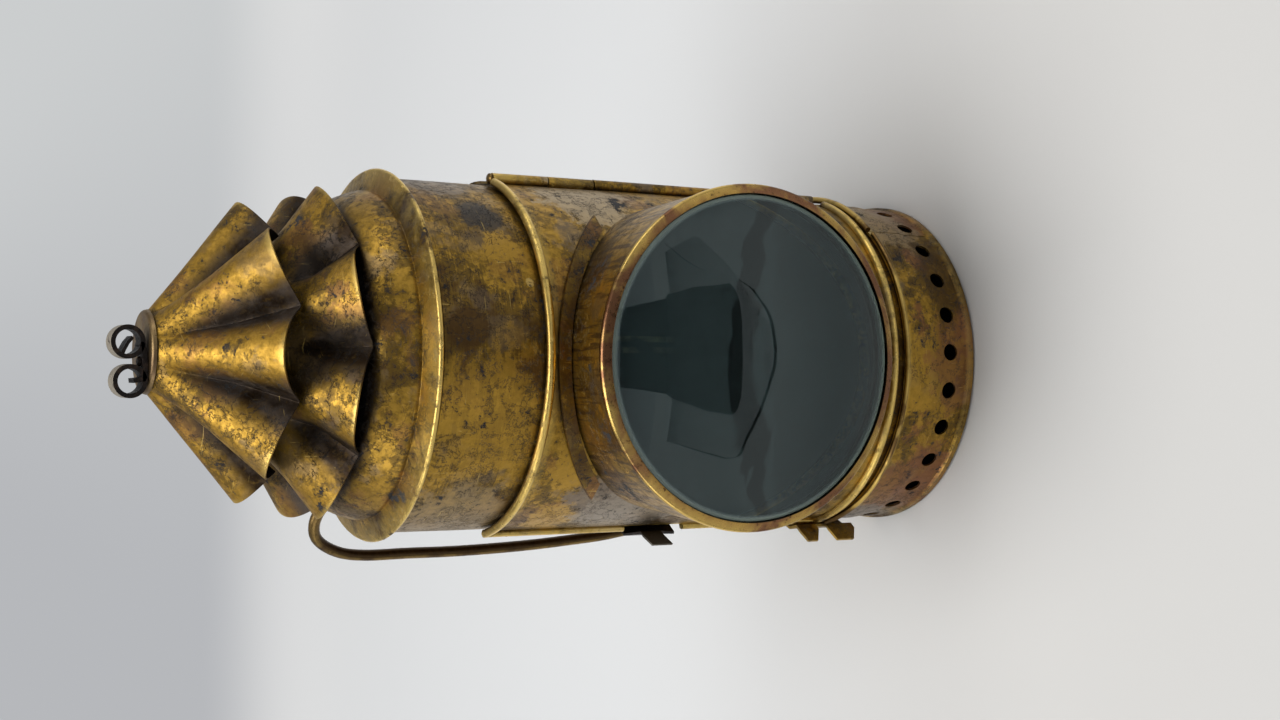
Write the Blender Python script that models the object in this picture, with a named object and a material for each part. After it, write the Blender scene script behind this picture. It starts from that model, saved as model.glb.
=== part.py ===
"""A bullseye lantern: an oil hand lantern with a lens in its door and a shutter that its top turns.

Z is up, the lens looks along -Y and the origin is at the middle of the foot, on the ground.
Angles around the lantern start at the front and grow towards +X, the side of the door hinge.
"""
import math

import bmesh
import bpy
from mathutils import Matrix, Vector

for old in list(bpy.data.objects):
    bpy.data.objects.remove(old, do_unlink=True)

MM = 0.001

# Sheet, fits and cuts
SHEET = 0.6 * MM
SEAT_GAP = 0.3 * MM
CUT_OVERRUN = 2.0 * MM
WELD_DISTANCE = 0.00001 * MM

# Body tube and its door opening
TUBE_RADIUS = 41.0 * MM
TUBE_BOTTOM = 12.0 * MM
TUBE_COLLAR = 24.6 * MM
WINDOW_HALF_ANGLE = 62.0
WINDOW_SILL = 3.2 * MM
WINDOW_HEAD = 3.0 * MM

# Base ring with its air holes, and the floor of the lantern
BASE_TOP = 21.8 * MM
BASE_STEP_HEIGHT = 1.6 * MM
BASE_NECK_STEP = 0.4 * MM
FOOT_BULGE = 0.5 * MM
FOOT_HEIGHT = 2.6 * MM
VENT_COUNT = 27
VENT_RADIUS = 2.1 * MM
VENT_HEIGHT = 7.5 * MM
VENT_PHASE = 3.38
FLOOR_SHEET = 0.8 * MM

# Sill wire on the base ring, below the door; its front part thins from the latch side to a fine lip
SILL_WIRE_RADIUS = 0.85 * MM
SILL_WIRE_RISE = 1.2 * MM
SILL_LIP_RADIUS = 0.6 * MM
SILL_LIP_RISE = 0.2 * MM
SILL_TAPER_ANGLE = 25.0
SILL_FRONT_ANGLES = (-75.5, 49.0)
SILL_SIDE_ANGLES = (50.5, 138.0)
SILL_STEP_ANGLE = 5.0
SILL_SIDES = 6

# Door sheet with its rolled edges
DOOR_CLEARANCE = 0.4 * MM
DOOR_LIFT = 4.0 * MM
DOOR_FOOT = 14.3 * MM
DOOR_HEAD = 5.1 * MM
DOOR_ROLL_RADIUS = 1.0 * MM
EDGE_ROLL_RADIUS = 0.95 * MM
EDGE_ROLL_STANDOFF = 0.03 * MM
DOOR_LATCH_ANGLE = -77.5
DOOR_HINGE_ANGLE = 73.5
DOOR_HOLE_LEDGE = 2.9 * MM
LATCH_NOTCH_MARGIN = 1.2 * MM

# Door hinge
KNUCKLE_RADIUS = 1.45 * MM
PIN_RADIUS = 0.7 * MM
PIN_HEAD_RADIUS = 1.3 * MM
PIN_HEAD_HEIGHT = 0.8 * MM
HINGE_ANGLE = 77.4
HINGE_FOOT_INSET = 2.2 * MM
HINGE_HEAD_INSET = 0.6 * MM
BODY_KNUCKLE_LENGTH = 12.0 * MM
BODY_KNUCKLE_INSET = 14.5 * MM
LEAF_END_ANGLE = 94.0
LEAF_SETBACK_ANGLE = 3.0
BRIDGE_INSET = 0.08 * MM
BRIDGE_OVERLAP_ANGLE = 0.4

# Lens barrel, rim and glass; forward lengths are measured along -Y from the lantern's axis
BARREL_INSET = 3.6 * MM
BARREL_FLARE = 0.9 * MM
BARREL_REACH = 15.4 * MM
BARREL_WALL = 0.4 * MM
RIM_STEP = 0.4 * MM
RIM_BEAD_RADIUS = 0.9 * MM
RIM_SHEET = 0.35 * MM
RIM_LIP_WIDTH = 2.2 * MM
RIM_LIP_REACH = 2.6 * MM
RIM_BAND_DEPTH = 5.0 * MM
GLASS_EDGE_THICKNESS = 5.0 * MM
GLASS_DOME_HEIGHT = 6.5 * MM
RETAINER_DEPTH = 1.8 * MM
RETAINER_WIDTH = 2.6 * MM
FLANGE_WIDTH = 3.0 * MM
FLANGE_HALF_ANGLE = 50.0
FLANGE_SWEEP_ANGLE = 64.0

# Turning cap: brim, shoulder and dome
BRIM_OVERHANG = 2.05 * MM
BRIM_BEAD_RADIUS = 0.6 * MM
BRIM_RISE = 1.4 * MM
SHOULDER_INSET = 3.1 * MM
SHOULDER_RISE = 2.3 * MM
DOME_HEIGHT = 13.4 * MM
NECK_STEP = 0.9 * MM
NECK_HEIGHT = 3.2 * MM
DOME_PROFILE_SHARES = (
    (1.0, 0.09), (0.965, 0.24), (0.905, 0.44), (0.83, 0.6), (0.69, 0.78), (0.44, 0.93), (0.15, 1.0),
)

# Shutter inside the body tube
SLEEVE_CLEARANCE = 1.4 * MM
SLEEVE_FOOT_INSET = 1.0 * MM
SLEEVE_HEAD_INSET = 6.0 * MM
SLEEVE_BEAD_HEIGHT = 2.0 * MM
SLEEVE_BEAD_BULGE = 0.9 * MM
SLEEVE_HALF_ANGLE = 70.0
BEARING_INSET = 7.6 * MM
BEARING_HEIGHT = 4.0 * MM

# Chimney with its two fluted crowns
CHIMNEY_INSET = 21.9 * MM
CHIMNEY_FOOT_RISE = 3.7 * MM
CHIMNEY_HEAD_DROP = 18.6 * MM
CHIMNEY_VENT_COUNT = 8
CHIMNEY_VENT_RADIUS = 2.6 * MM
CHIMNEY_VENT_DROP = 6.0 * MM
LOBE_COUNT = 8
CROWN_LEVEL_SHARES = (0.0, 0.5, 1.0)
LOWER_TOP_RISE = 13.3 * MM
LOWER_RIDGE_INSET = 4.25 * MM
LOWER_RIDGE_DROP = 12.6 * MM
LOWER_VALLEY_DEPTH = 4.2 * MM
LOWER_VALLEY_LIFT = 1.5 * MM
LOWER_MIDDLE_INSET = 9.7 * MM
LOWER_MIDDLE_DROP = 10.0 * MM
LOWER_FIRST_RIDGE = 25.5
LOWER_SHARPNESS = 0.5
LOWER_UNEVENNESS = 0.0
UPPER_TOP_RADIUS = 8.6 * MM
UPPER_TOP_RISE = 22.0 * MM
UPPER_RIDGE_INSET = 5.2 * MM
UPPER_RIDGE_DROP = 19.8 * MM
UPPER_VALLEY_DEPTH = 5.6 * MM
UPPER_VALLEY_DROP = 25.9 * MM
UPPER_MIDDLE_INSET = 11.1 * MM
UPPER_MIDDLE_DROP = 14.4 * MM
UPPER_FIRST_RIDGE = -1.5
UPPER_SHARPNESS = 0.75
UPPER_UNEVENNESS = 0.4

# Plate and scroll on top
PLATE_RADIUS = 8.8 * MM
PLATE_THICKNESS = 0.6 * MM
SCROLL_RADIUS = 3.2 * MM
SCROLL_SPACING = 8.3 * MM
SCROLL_WIDTH = 3.6 * MM
SCROLL_OFFSET = -2.1 * MM
SCROLL_FORWARD = 4.2 * MM
SCROLL_SHEET = 0.8 * MM
SCROLL_TURN = 470.0
SCROLL_OUTER_TURN = 270.0
SCROLL_INNER_SHARE = 0.12
SCROLL_STEPS = 26
FINIAL_RIVET_RADIUS = 0.7 * MM
FINIAL_RIVET_HEAD_RADIUS = 1.2 * MM

# Wire handles and their brackets
HANDLE_WIRE_RADIUS = 1.45 * MM
HANDLE_REACH = 24.6 * MM
HANDLE_CROWN_RISE = 26.0 * MM
HANDLE_HEEL_DROP = 7.5 * MM
BRACKET_ANGLE = 135.0
BRACKET_HALF_ANGLE = 6.5
BRACKET_HEIGHT = 9.0 * MM
BRACKET_WALL = 0.8 * MM
UPPER_BRACKET_DROP = 25.6 * MM
LOWER_BRACKET_RISE = 19.2 * MM
HANDLE_END_OVERHANG = 2.5 * MM
LEFT_HANDLE_HEADING = 145.0
RIGHT_HANDLE_HEADING = 90.0
HANDLE_CURVE_SHARES = (
    (0.06, 0.93), (0.25, 0.98), (0.5, 1.0), (0.75, 0.985), (0.93, 0.93), (1.0, 0.86),
    (1.0, 0.75), (1.0, 0.62), (0.97, 0.46), (0.92, 0.34), (0.85, 0.22), (0.7, 0.1),
    (0.45, 0.025), (0.2, 0.0), (0.04, 0.025),
)

# Belt clip on the back
CLIP_WIDTH = 15.0 * MM
CLIP_SHEET = 1.0 * MM
CLIP_TOP_DROP = 36.6 * MM
CLIP_BOTTOM_RISE = 30.2 * MM
CLIP_STANDOFF = 5.0 * MM
CLIP_BEND = 3.0 * MM
CLIP_LIP = 4.0 * MM
CLIP_PAD_LENGTH = 20.0 * MM

# Rivets
RIVET_RADIUS = 1.0 * MM
RIVET_HEAD_RADIUS = 1.9 * MM
RIVET_HEAD_HEIGHT = 0.8 * MM
RIVET_CLEARANCE = 0.3 * MM

# Upper catch, of black spring steel; its thumb tab flares outward and down
UPPER_CATCH_SHEET = 0.6 * MM
UPPER_CATCH_DROP = 9.9 * MM
UPPER_CATCH_HEIGHT = 14.4 * MM
UPPER_CATCH_TAIL_ANGLE = -103.0
UPPER_CATCH_RIVET_ANGLE = -100.5
UPPER_TAB_RISE = 5.6 * MM
UPPER_TAB_HEIGHT = 5.8 * MM
UPPER_TAB_DROP = 1.6 * MM
UPPER_TAB_REACH = 3.6 * MM

# Lower catch, of brass, beside the sill
LOWER_CATCH_SHEET = 0.7 * MM
LOWER_CATCH_DROP = 6.6 * MM
LOWER_CATCH_RISE = 6.8 * MM
LOWER_CATCH_TAIL_ANGLE = -99.0
LOWER_CATCH_RIVET_ANGLE = -96.5
LOWER_CATCH_RIVET_INSET = 3.0 * MM
LOWER_TAB_REACH = 4.4 * MM
LOWER_TAB_SPLIT_RISE = 1.6 * MM
LOWER_TAB_SPLIT_HEIGHT = 3.2 * MM
LOWER_TAB_CORNER = 1.5 * MM
CATCH_LEAF_SHARES = (0.0, 0.33, 0.67, 1.0)

# Oil font with its burner, seated on the floor
FONT_RADIUS = 27.0 * MM
FONT_HEIGHT = 32.0 * MM
FONT_SHOULDER = 3.0 * MM
FONT_WALL = 0.7 * MM
FONT_RING_HEIGHT = 4.0 * MM
FONT_RING_WALL = 0.8 * MM
BURNER_HOLE_RADIUS = 9.0 * MM
BURNER_FLANGE_RADIUS = 11.5 * MM
BURNER_FLANGE_THICKNESS = 1.2 * MM
BURNER_SKIRT_DEPTH = 4.0 * MM
BURNER_CONE_RADIUS = 6.5 * MM
BURNER_CONE_HEIGHT = 9.0 * MM
WICK_WIDTH = 11.0 * MM
WICK_THICKNESS = 2.2 * MM
WICK_TUBE_WALL = 0.5 * MM
WICK_TUBE_RISE = 26.9 * MM
WICK_TUBE_DEPTH = 6.1 * MM
WICK_OVERHANG = 2.5 * MM
WICK_BOTTOM = 9.0 * MM
FILLER_SPACING = 6.5 * MM
FILLER_ANGLE = 60.0
FILLER_HOLE_RADIUS = 3.2 * MM
FILLER_CAP_RADIUS = 4.8 * MM
FILLER_CAP_HEIGHT = 3.0 * MM
FILLER_PLUG_DEPTH = 2.5 * MM

# Reflector behind the flame
REFLECTOR_MARGIN = 13.4 * MM
REFLECTOR_DEPTH = 8.0 * MM
REFLECTOR_SPACING = 7.9 * MM
REFLECTOR_SHEET = 0.6 * MM
REFLECTOR_BRACKET_WIDTH = 9.0 * MM
REFLECTOR_BRACKET_SHEET = 0.8 * MM
REFLECTOR_BRACKET_FOOT = 10.0 * MM
REFLECTOR_BRACKET_BEND_RISE = 4.9 * MM
REFLECTOR_BRACKET_RISE = 3.0 * MM

# Steps around round pieces
BODY_STEPS = 48
CAP_STEPS = 44
BASE_STEPS = 54
DOOR_STEPS = 30
LENS_STEPS = 44
CROWN_STEPS = 64
INNER_STEPS = 28
FLANGE_STEPS = 24
SMALL_STEPS = 12
HOLE_STEPS = 8
ROLL_STEPS = 6

# Worked-out sizes, from the base upward
TUBE_INNER_RADIUS = TUBE_RADIUS - SHEET
BARREL_ROOT_RADIUS = TUBE_RADIUS - BARREL_INSET
BARREL_FRONT_RADIUS = BARREL_ROOT_RADIUS + BARREL_FLARE
BARREL_LENGTH = TUBE_RADIUS + BARREL_REACH
DOOR_HOLE_RADIUS = BARREL_ROOT_RADIUS - DOOR_HOLE_LEDGE
DOOR_BOTTOM = BASE_TOP + DOOR_LIFT
LENS_HEIGHT = DOOR_BOTTOM + DOOR_FOOT + BARREL_ROOT_RADIUS
DOOR_TOP = LENS_HEIGHT + BARREL_ROOT_RADIUS + DOOR_HEAD
WINDOW_BOTTOM = DOOR_BOTTOM + WINDOW_SILL
WINDOW_TOP = DOOR_TOP - WINDOW_HEAD
HINGE_BOTTOM = DOOR_BOTTOM + HINGE_FOOT_INSET
HINGE_TOP = DOOR_TOP - HINGE_HEAD_INSET
RIM_RADIUS = BARREL_FRONT_RADIUS + RIM_STEP
RIM_LIP_RADIUS = RIM_RADIUS - RIM_LIP_WIDTH
RIM_LIP_FORWARD = BARREL_LENGTH + RIM_LIP_REACH
TUBE_TOP = DOOR_TOP + TUBE_COLLAR
BRIM_RADIUS = TUBE_RADIUS + BRIM_OVERHANG
BRIM_HEIGHT = TUBE_TOP + BRIM_RISE
SHOULDER_RADIUS = TUBE_RADIUS - SHOULDER_INSET
SHOULDER_HEIGHT = BRIM_HEIGHT + SHOULDER_RISE
CHIMNEY_RADIUS = TUBE_RADIUS - CHIMNEY_INSET
NECK_RADIUS = CHIMNEY_RADIUS + NECK_STEP
SLEEVE_RADIUS = TUBE_INNER_RADIUS - SLEEVE_CLEARANCE
SLEEVE_BOTTOM = WINDOW_BOTTOM + SLEEVE_FOOT_INSET
SLEEVE_RING_BOTTOM = WINDOW_TOP + SLEEVE_HEAD_INSET
BEARING_BOTTOM = TUBE_TOP - BEARING_INSET
LOWER_TOP_HEIGHT = SHOULDER_HEIGHT + DOME_HEIGHT + LOWER_TOP_RISE
LOWER_RIDGE_RADIUS = BRIM_RADIUS - LOWER_RIDGE_INSET
LOWER_RIDGE_HEIGHT = LOWER_TOP_HEIGHT - LOWER_RIDGE_DROP
LOWER_VALLEY_RADIUS = LOWER_RIDGE_RADIUS - LOWER_VALLEY_DEPTH
LOWER_VALLEY_MIDDLE = (LOWER_VALLEY_RADIUS - LOWER_MIDDLE_INSET, LOWER_TOP_HEIGHT - LOWER_MIDDLE_DROP)
UPPER_TOP_HEIGHT = LOWER_TOP_HEIGHT + UPPER_TOP_RISE
UPPER_RIDGE_RADIUS = LOWER_RIDGE_RADIUS - UPPER_RIDGE_INSET
UPPER_RIDGE_HEIGHT = UPPER_TOP_HEIGHT - UPPER_RIDGE_DROP
UPPER_VALLEY_RADIUS = UPPER_RIDGE_RADIUS - UPPER_VALLEY_DEPTH
UPPER_VALLEY_HEIGHT = UPPER_TOP_HEIGHT - UPPER_VALLEY_DROP
UPPER_VALLEY_MIDDLE = (UPPER_VALLEY_RADIUS - UPPER_MIDDLE_INSET, UPPER_TOP_HEIGHT - UPPER_MIDDLE_DROP)
CHIMNEY_BOTTOM = SHOULDER_HEIGHT + CHIMNEY_FOOT_RISE
CHIMNEY_TOP = UPPER_TOP_HEIGHT - CHIMNEY_HEAD_DROP
CHIMNEY_VENT_HEIGHT = LOWER_TOP_HEIGHT - CHIMNEY_VENT_DROP
UPPER_BRACKET_HEIGHT = TUBE_TOP - UPPER_BRACKET_DROP
LOWER_BRACKET_HEIGHT = BASE_TOP + LOWER_BRACKET_RISE
HANDLE_CROWN_HEIGHT = UPPER_BRACKET_HEIGHT + HANDLE_CROWN_RISE
HANDLE_HEEL_HEIGHT = LOWER_BRACKET_HEIGHT - HANDLE_HEEL_DROP
CLIP_TOP = TUBE_TOP - CLIP_TOP_DROP
CLIP_BOTTOM = BASE_TOP + CLIP_BOTTOM_RISE
UPPER_CATCH_BOTTOM = LENS_HEIGHT - UPPER_CATCH_DROP
UPPER_CATCH_TOP = UPPER_CATCH_BOTTOM + UPPER_CATCH_HEIGHT
UPPER_TAB_BOTTOM = UPPER_CATCH_BOTTOM + UPPER_TAB_RISE
UPPER_TAB_TOP = UPPER_TAB_BOTTOM + UPPER_TAB_HEIGHT
LATCH_NOTCH_BOTTOM = UPPER_CATCH_BOTTOM - LATCH_NOTCH_MARGIN
LATCH_NOTCH_TOP = UPPER_CATCH_TOP + LATCH_NOTCH_MARGIN
LOWER_CATCH_BOTTOM = BASE_TOP - LOWER_CATCH_DROP
LOWER_CATCH_TOP = DOOR_BOTTOM + LOWER_CATCH_RISE
LOWER_CATCH_RIVET_HEIGHT = LOWER_CATCH_BOTTOM + LOWER_CATCH_RIVET_INSET
LOWER_TAB_SPLIT_BOTTOM = BASE_TOP + LOWER_TAB_SPLIT_RISE
LOWER_TAB_SPLIT_TOP = LOWER_TAB_SPLIT_BOTTOM + LOWER_TAB_SPLIT_HEIGHT
BASE_INNER_RADIUS = TUBE_RADIUS + SEAT_GAP
BASE_RADIUS = BASE_INNER_RADIUS + SHEET
DOOR_INNER_RADIUS = TUBE_RADIUS + DOOR_CLEARANCE
DOOR_RADIUS = DOOR_INNER_RADIUS + SHEET
DOOR_ROLL_CENTRE = DOOR_INNER_RADIUS + DOOR_ROLL_RADIUS
HINGE_DISTANCE = TUBE_RADIUS + SEAT_GAP + KNUCKLE_RADIUS
KNUCKLE_BORE = PIN_RADIUS + SEAT_GAP
SLEEVE_INNER_RADIUS = SLEEVE_RADIUS - SHEET
LOWER_TOP_RADIUS = CHIMNEY_RADIUS + SEAT_GAP + SHEET
UPPER_RIVET_HEIGHT = (UPPER_CATCH_BOTTOM + UPPER_CATCH_TOP) / 2.0
CLIP_RIVET_HEIGHTS = (CLIP_TOP - CLIP_PAD_LENGTH * 0.3, CLIP_TOP - CLIP_PAD_LENGTH * 0.7)
BRACKET_RADIUS = HANDLE_WIRE_RADIUS + SEAT_GAP + BRACKET_WALL
HANDLE_DISTANCE = TUBE_RADIUS + SEAT_GAP + BRACKET_RADIUS
FONT_BOTTOM = FLOOR_SHEET + SEAT_GAP
FONT_TOP = FONT_BOTTOM + FONT_HEIGHT
WICK_TUBE_TOP = FONT_TOP + WICK_TUBE_RISE
WICK_TUBE_BOTTOM = FONT_TOP - WICK_TUBE_DEPTH
WICK_TOP = WICK_TUBE_TOP + WICK_OVERHANG
FILLER_DISTANCE = BURNER_FLANGE_RADIUS + FILLER_SPACING
REFLECTOR_RADIUS = SLEEVE_INNER_RADIUS - REFLECTOR_MARGIN
REFLECTOR_BACK = SLEEVE_INNER_RADIUS - REFLECTOR_SPACING
REFLECTOR_BRACKET_BEND = FONT_TOP + REFLECTOR_BRACKET_BEND_RISE
PLATE_BOTTOM = UPPER_TOP_HEIGHT + SEAT_GAP
PLATE_TOP = PLATE_BOTTOM + PLATE_THICKNESS
BARREL_TAPER = (BARREL_FRONT_RADIUS - BARREL_ROOT_RADIUS) / (BARREL_LENGTH - DOOR_RADIUS)
RIM_BEAD_FORWARD = BARREL_LENGTH + SEAT_GAP + RIM_BEAD_RADIUS
RIM_BACK = RIM_BEAD_FORWARD - RIM_BAND_DEPTH
RIM_BORE_RADIUS = (BARREL_FRONT_RADIUS - BARREL_TAPER * (BARREL_LENGTH - RIM_BACK) - BARREL_WALL
                   - SEAT_GAP - RIM_SHEET)
LATCH_EDGE_RADIUS = DOOR_INNER_RADIUS + EDGE_ROLL_STANDOFF + EDGE_ROLL_RADIUS


def polar(radius, angle, height=0.0):
    """A point at an angle in degrees from the front, growing towards +X."""
    turn = math.radians(angle)
    return Vector((radius * math.sin(turn), -radius * math.cos(turn), height))


def circle(centre, radius, start, end, steps):
    """Profile points on an arc, with angles in degrees."""
    points = []
    for step in range(steps + 1):
        turn = math.radians(start + (end - start) * step / steps)
        points.append((centre[0] + radius * math.cos(turn), centre[1] + radius * math.sin(turn)))
    return points


def principled(name, colour, metallic, roughness, transmission=0.0):
    material = bpy.data.materials.new(name)
    material.use_nodes = True
    shader = material.node_tree.nodes["Principled BSDF"]
    shader.inputs["Base Color"].default_value = (*colour, 1.0)
    shader.inputs["Metallic"].default_value = metallic
    shader.inputs["Roughness"].default_value = roughness
    shader.inputs["Transmission Weight"].default_value = transmission
    material.diffuse_color = (*colour, 1.0)
    return material


def brass(name, warmth=0.0):
    """Tarnished brass; warmth moves it from olive gold towards copper brown."""
    return principled(name, (0.42 - 0.12 * warmth, 0.29 - 0.12 * warmth, 0.10), 0.9, 0.42)


def steel(name):
    return principled(name, (0.035, 0.033, 0.03), 0.7, 0.5)


def finish(name, mesh_data, material, parent=None, smooth=True):
    """Turns a bmesh into a named object with closed, outward faces."""
    bmesh.ops.remove_doubles(mesh_data, verts=mesh_data.verts, dist=WELD_DISTANCE)
    bmesh.ops.recalc_face_normals(mesh_data, faces=mesh_data.faces)
    mesh = bpy.data.meshes.new(name)
    mesh_data.to_mesh(mesh)
    mesh_data.free()
    if smooth:
        mesh.shade_smooth()
        mesh.set_sharp_from_angle(angle=math.radians(35.0))
    thing = bpy.data.objects.new(name, mesh)
    bpy.context.collection.objects.link(thing)
    if material is not None:
        mesh.materials.append(material)
    if parent is not None:
        thing.parent = parent
        thing.location = -parent.location
    return thing


def skin(outlines, whole=False):
    """Faces between one outline of points and the next, closed at both ends or round to the first."""
    work = bmesh.new()
    rings = [[work.verts.new(point) for point in outline] for outline in outlines]
    for near, far in zip(rings, rings[1:] + (rings[:1] if whole else [])):
        for side in range(len(near)):
            after = (side + 1) % len(near)
            work.faces.new((near[side], near[after], far[after], far[side]))
    if not whole:
        work.faces.new(list(reversed(rings[0])))
        work.faces.new(rings[-1])
    return work


def revolve(profile, steps, start=0.0, sweep=360.0):
    """Turns a closed profile of (radius, height) points about Z."""
    whole = sweep >= 360.0
    angles = [start + sweep * step / steps for step in range(steps if whole else steps + 1)]
    return skin([[polar(radius, angle, height) for radius, height in profile] for angle in angles], whole)


def face_forward(work, height):
    """Lays a turned shape's axis along -Y, at a height."""
    turn = Matrix.Translation((0.0, 0.0, height)) @ Matrix.Rotation(math.radians(90.0), 4, "X")
    bmesh.ops.transform(work, matrix=turn, verts=work.verts)
    return work


def wire(points, radius, sides):
    """A round wire along points, with flat ends."""
    rings = []
    normal = None
    for index, point in enumerate(points):
        before = points[max(index - 1, 0)]
        after = points[min(index + 1, len(points) - 1)]
        along = (after - before).normalized()
        if normal is None:
            normal = along.orthogonal().normalized()
        normal = (normal - along * normal.dot(along)).normalized()
        other = along.cross(normal)
        ring = []
        for side in range(sides):
            turn = math.tau * side / sides
            offset = normal * math.cos(turn) + other * math.sin(turn)
            ring.append(point + offset * radius)
        rings.append(ring)
    return skin(rings)


def smooth_curve(points, steps):
    """Points of a Catmull-Rom curve through the given points."""
    result = []
    ends = [points[0] * 2.0 - points[1]] + list(points) + [points[-1] * 2.0 - points[-2]]
    for a, b, c, d in zip(ends, ends[1:], ends[2:], ends[3:]):
        for step in range(steps):
            t = step / steps
            result.append(0.5 * (2.0 * b + (c - a) * t + (2.0 * a - 5.0 * b + 4.0 * c - d) * t ** 2
                                 + (3.0 * b - a - 3.0 * c + d) * t ** 3))
    result.append(points[-1])
    return result


def ribbon(points, spans, across, thickness):
    """A bent strip: its middle line lies in the plane square to across, and spans give its two edges."""
    rings = []
    for index, point in enumerate(points):
        before = points[max(index - 1, 0)]
        after = points[min(index + 1, len(points) - 1)]
        side = (after - before).normalized().cross(across) * (thickness / 2.0)
        low, high = (across * value for value in spans[index])
        rings.append((point + side + low, point + side + high, point - side + high, point - side + low))
    return skin(rings)


def box(low, high):
    work = bmesh.new()
    bmesh.ops.create_cube(work, size=1.0)
    size = Vector(high) - Vector(low)
    middle = (Vector(high) + Vector(low)) / 2.0
    place = Matrix.Translation(middle) @ Matrix.Diagonal((*size, 1.0))
    bmesh.ops.transform(work, matrix=place, verts=work.verts)
    return work


def cylinder(radius, low, high, steps, place=Matrix()):
    """A cylinder along the place's own Z."""
    work = revolve([(0.0, low), (radius, low), (radius, high), (0.0, high)], steps)
    bmesh.ops.transform(work, matrix=place, verts=work.verts)
    return work


def radial_place(angle, height):
    """A frame at a height whose Z points away from the lantern's axis."""
    turn = Matrix.Rotation(math.radians(angle), 4, "Z") @ Matrix.Rotation(math.radians(90.0), 4, "X")
    return Matrix.Translation((0.0, 0.0, height)) @ turn


def merge(first, *others):
    """Puts several loose shapes into one bmesh, for a cutter of many parts."""
    for other in others:
        spare = bpy.data.meshes.new("spare")
        other.to_mesh(spare)
        other.free()
        first.from_mesh(spare)
        bpy.data.meshes.remove(spare)
    return first


def combine(thing, work, operation, name):
    """Adds a Boolean with a helper shape that isn't part of the lantern."""
    helper = finish(name, work, None, thing.parent, smooth=False)
    helper.hide_render = True
    helper.display_type = "WIRE"
    modifier = thing.modifiers.new(name, "BOOLEAN")
    modifier.operation = operation
    modifier.solver = "EXACT"
    modifier.object = helper


def axis_empty(name, location, parent=None):
    empty = bpy.data.objects.new(name, None)
    bpy.context.collection.objects.link(empty)
    empty.location = location
    empty.empty_display_size = TUBE_RADIUS / 2.0
    if parent is not None:
        empty.parent = parent
    return empty


def rivet(name, angle, height, inner, outer, material):
    """A rivet through a stack of sheets between two radii, with a domed head outside."""
    tail = inner - SEAT_GAP
    seat = outer + SEAT_GAP
    profile = [(0.0, tail), (RIVET_RADIUS, tail), (RIVET_RADIUS, seat), (RIVET_HEAD_RADIUS, seat),
               (RIVET_HEAD_RADIUS * 0.75, seat + RIVET_HEAD_HEIGHT * 0.7), (0.0, seat + RIVET_HEAD_HEIGHT)]
    work = revolve(profile, SMALL_STEPS)
    bmesh.ops.transform(work, matrix=radial_place(angle, height), verts=work.verts)
    return finish(name, work, material)


def rivet_hole(thing, angle, height, name):
    hole = cylinder(RIVET_RADIUS + RIVET_CLEARANCE, TUBE_RADIUS / 2.0, TUBE_RADIUS * 1.5, SMALL_STEPS,
                    radial_place(angle, height))
    combine(thing, hole, "DIFFERENCE", name)


def box_wedge(radius, half_angle, bottom, top):
    """A box that takes the front of a tube off, between two angles."""
    depth = radius * math.cos(math.radians(half_angle))
    return box((-radius * 1.5, -radius * 1.5, bottom), (radius * 1.5, -depth, top))


crown_axis = axis_empty("crown_axis", Vector((0.0, 0.0, TUBE_TOP)))
door_axis = axis_empty("door_axis", polar(HINGE_DISTANCE, HINGE_ANGLE, HINGE_BOTTOM))


# Body tube
def make_body_tube():
    profile = [(TUBE_INNER_RADIUS, TUBE_BOTTOM), (TUBE_RADIUS, TUBE_BOTTOM),
               (TUBE_RADIUS, TUBE_TOP), (TUBE_INNER_RADIUS, TUBE_TOP)]
    tube = finish("body_tube", revolve(profile, BODY_STEPS), brass("tube_brass"))
    window = box_wedge(TUBE_RADIUS, WINDOW_HALF_ANGLE, WINDOW_BOTTOM, WINDOW_TOP)
    combine(tube, window, "DIFFERENCE", "window_cut")
    rivet_hole(tube, UPPER_CATCH_RIVET_ANGLE, UPPER_RIVET_HEIGHT, "upper_catch_hole")
    rivet_hole(tube, LOWER_CATCH_RIVET_ANGLE, LOWER_CATCH_RIVET_HEIGHT, "lower_catch_tube_hole")
    for index, height in enumerate(CLIP_RIVET_HEIGHTS):
        rivet_hole(tube, 180.0, height, "clip_hole_%d" % (index + 1))
    return tube


# Base ring, floor and sill
def make_base():
    neck_inner = BASE_INNER_RADIUS - BASE_NECK_STEP
    neck_outer = BASE_RADIUS - BASE_NECK_STEP
    step_low = TUBE_BOTTOM - SEAT_GAP - BASE_STEP_HEIGHT
    step_high = TUBE_BOTTOM - SEAT_GAP
    foot_outer = neck_outer + FOOT_BULGE
    profile = [(neck_inner, 0.0), (neck_outer, 0.0), (foot_outer, FOOT_HEIGHT * 0.2),
               (foot_outer, FOOT_HEIGHT * 0.7), (neck_outer, FOOT_HEIGHT), (neck_outer, step_low),
               (BASE_RADIUS, step_high),
               (BASE_RADIUS, BASE_TOP), (BASE_INNER_RADIUS, BASE_TOP), (BASE_INNER_RADIUS, step_high),
               (neck_inner, step_low)]
    ring = finish("base_ring", revolve(profile, BASE_STEPS), brass("base_brass", 0.6))
    holes = []
    for index in range(VENT_COUNT):
        place = radial_place(VENT_PHASE + 360.0 * index / VENT_COUNT, VENT_HEIGHT)
        low, high = neck_inner - CUT_OVERRUN, neck_outer + CUT_OVERRUN
        holes.append(cylinder(VENT_RADIUS, low, high, HOLE_STEPS, place))
    combine(ring, merge(*holes), "DIFFERENCE", "air_holes")
    rivet_hole(ring, LOWER_CATCH_RIVET_ANGLE, LOWER_CATCH_RIVET_HEIGHT, "lower_catch_ring_hole")
    floor_radius = neck_inner - SEAT_GAP
    floor = [(0.0, 0.0), (floor_radius, 0.0), (floor_radius, FLOOR_SHEET), (0.0, FLOOR_SHEET)]
    finish("base_plate", revolve(floor, BASE_STEPS), brass("floor_brass", 0.5))


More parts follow.
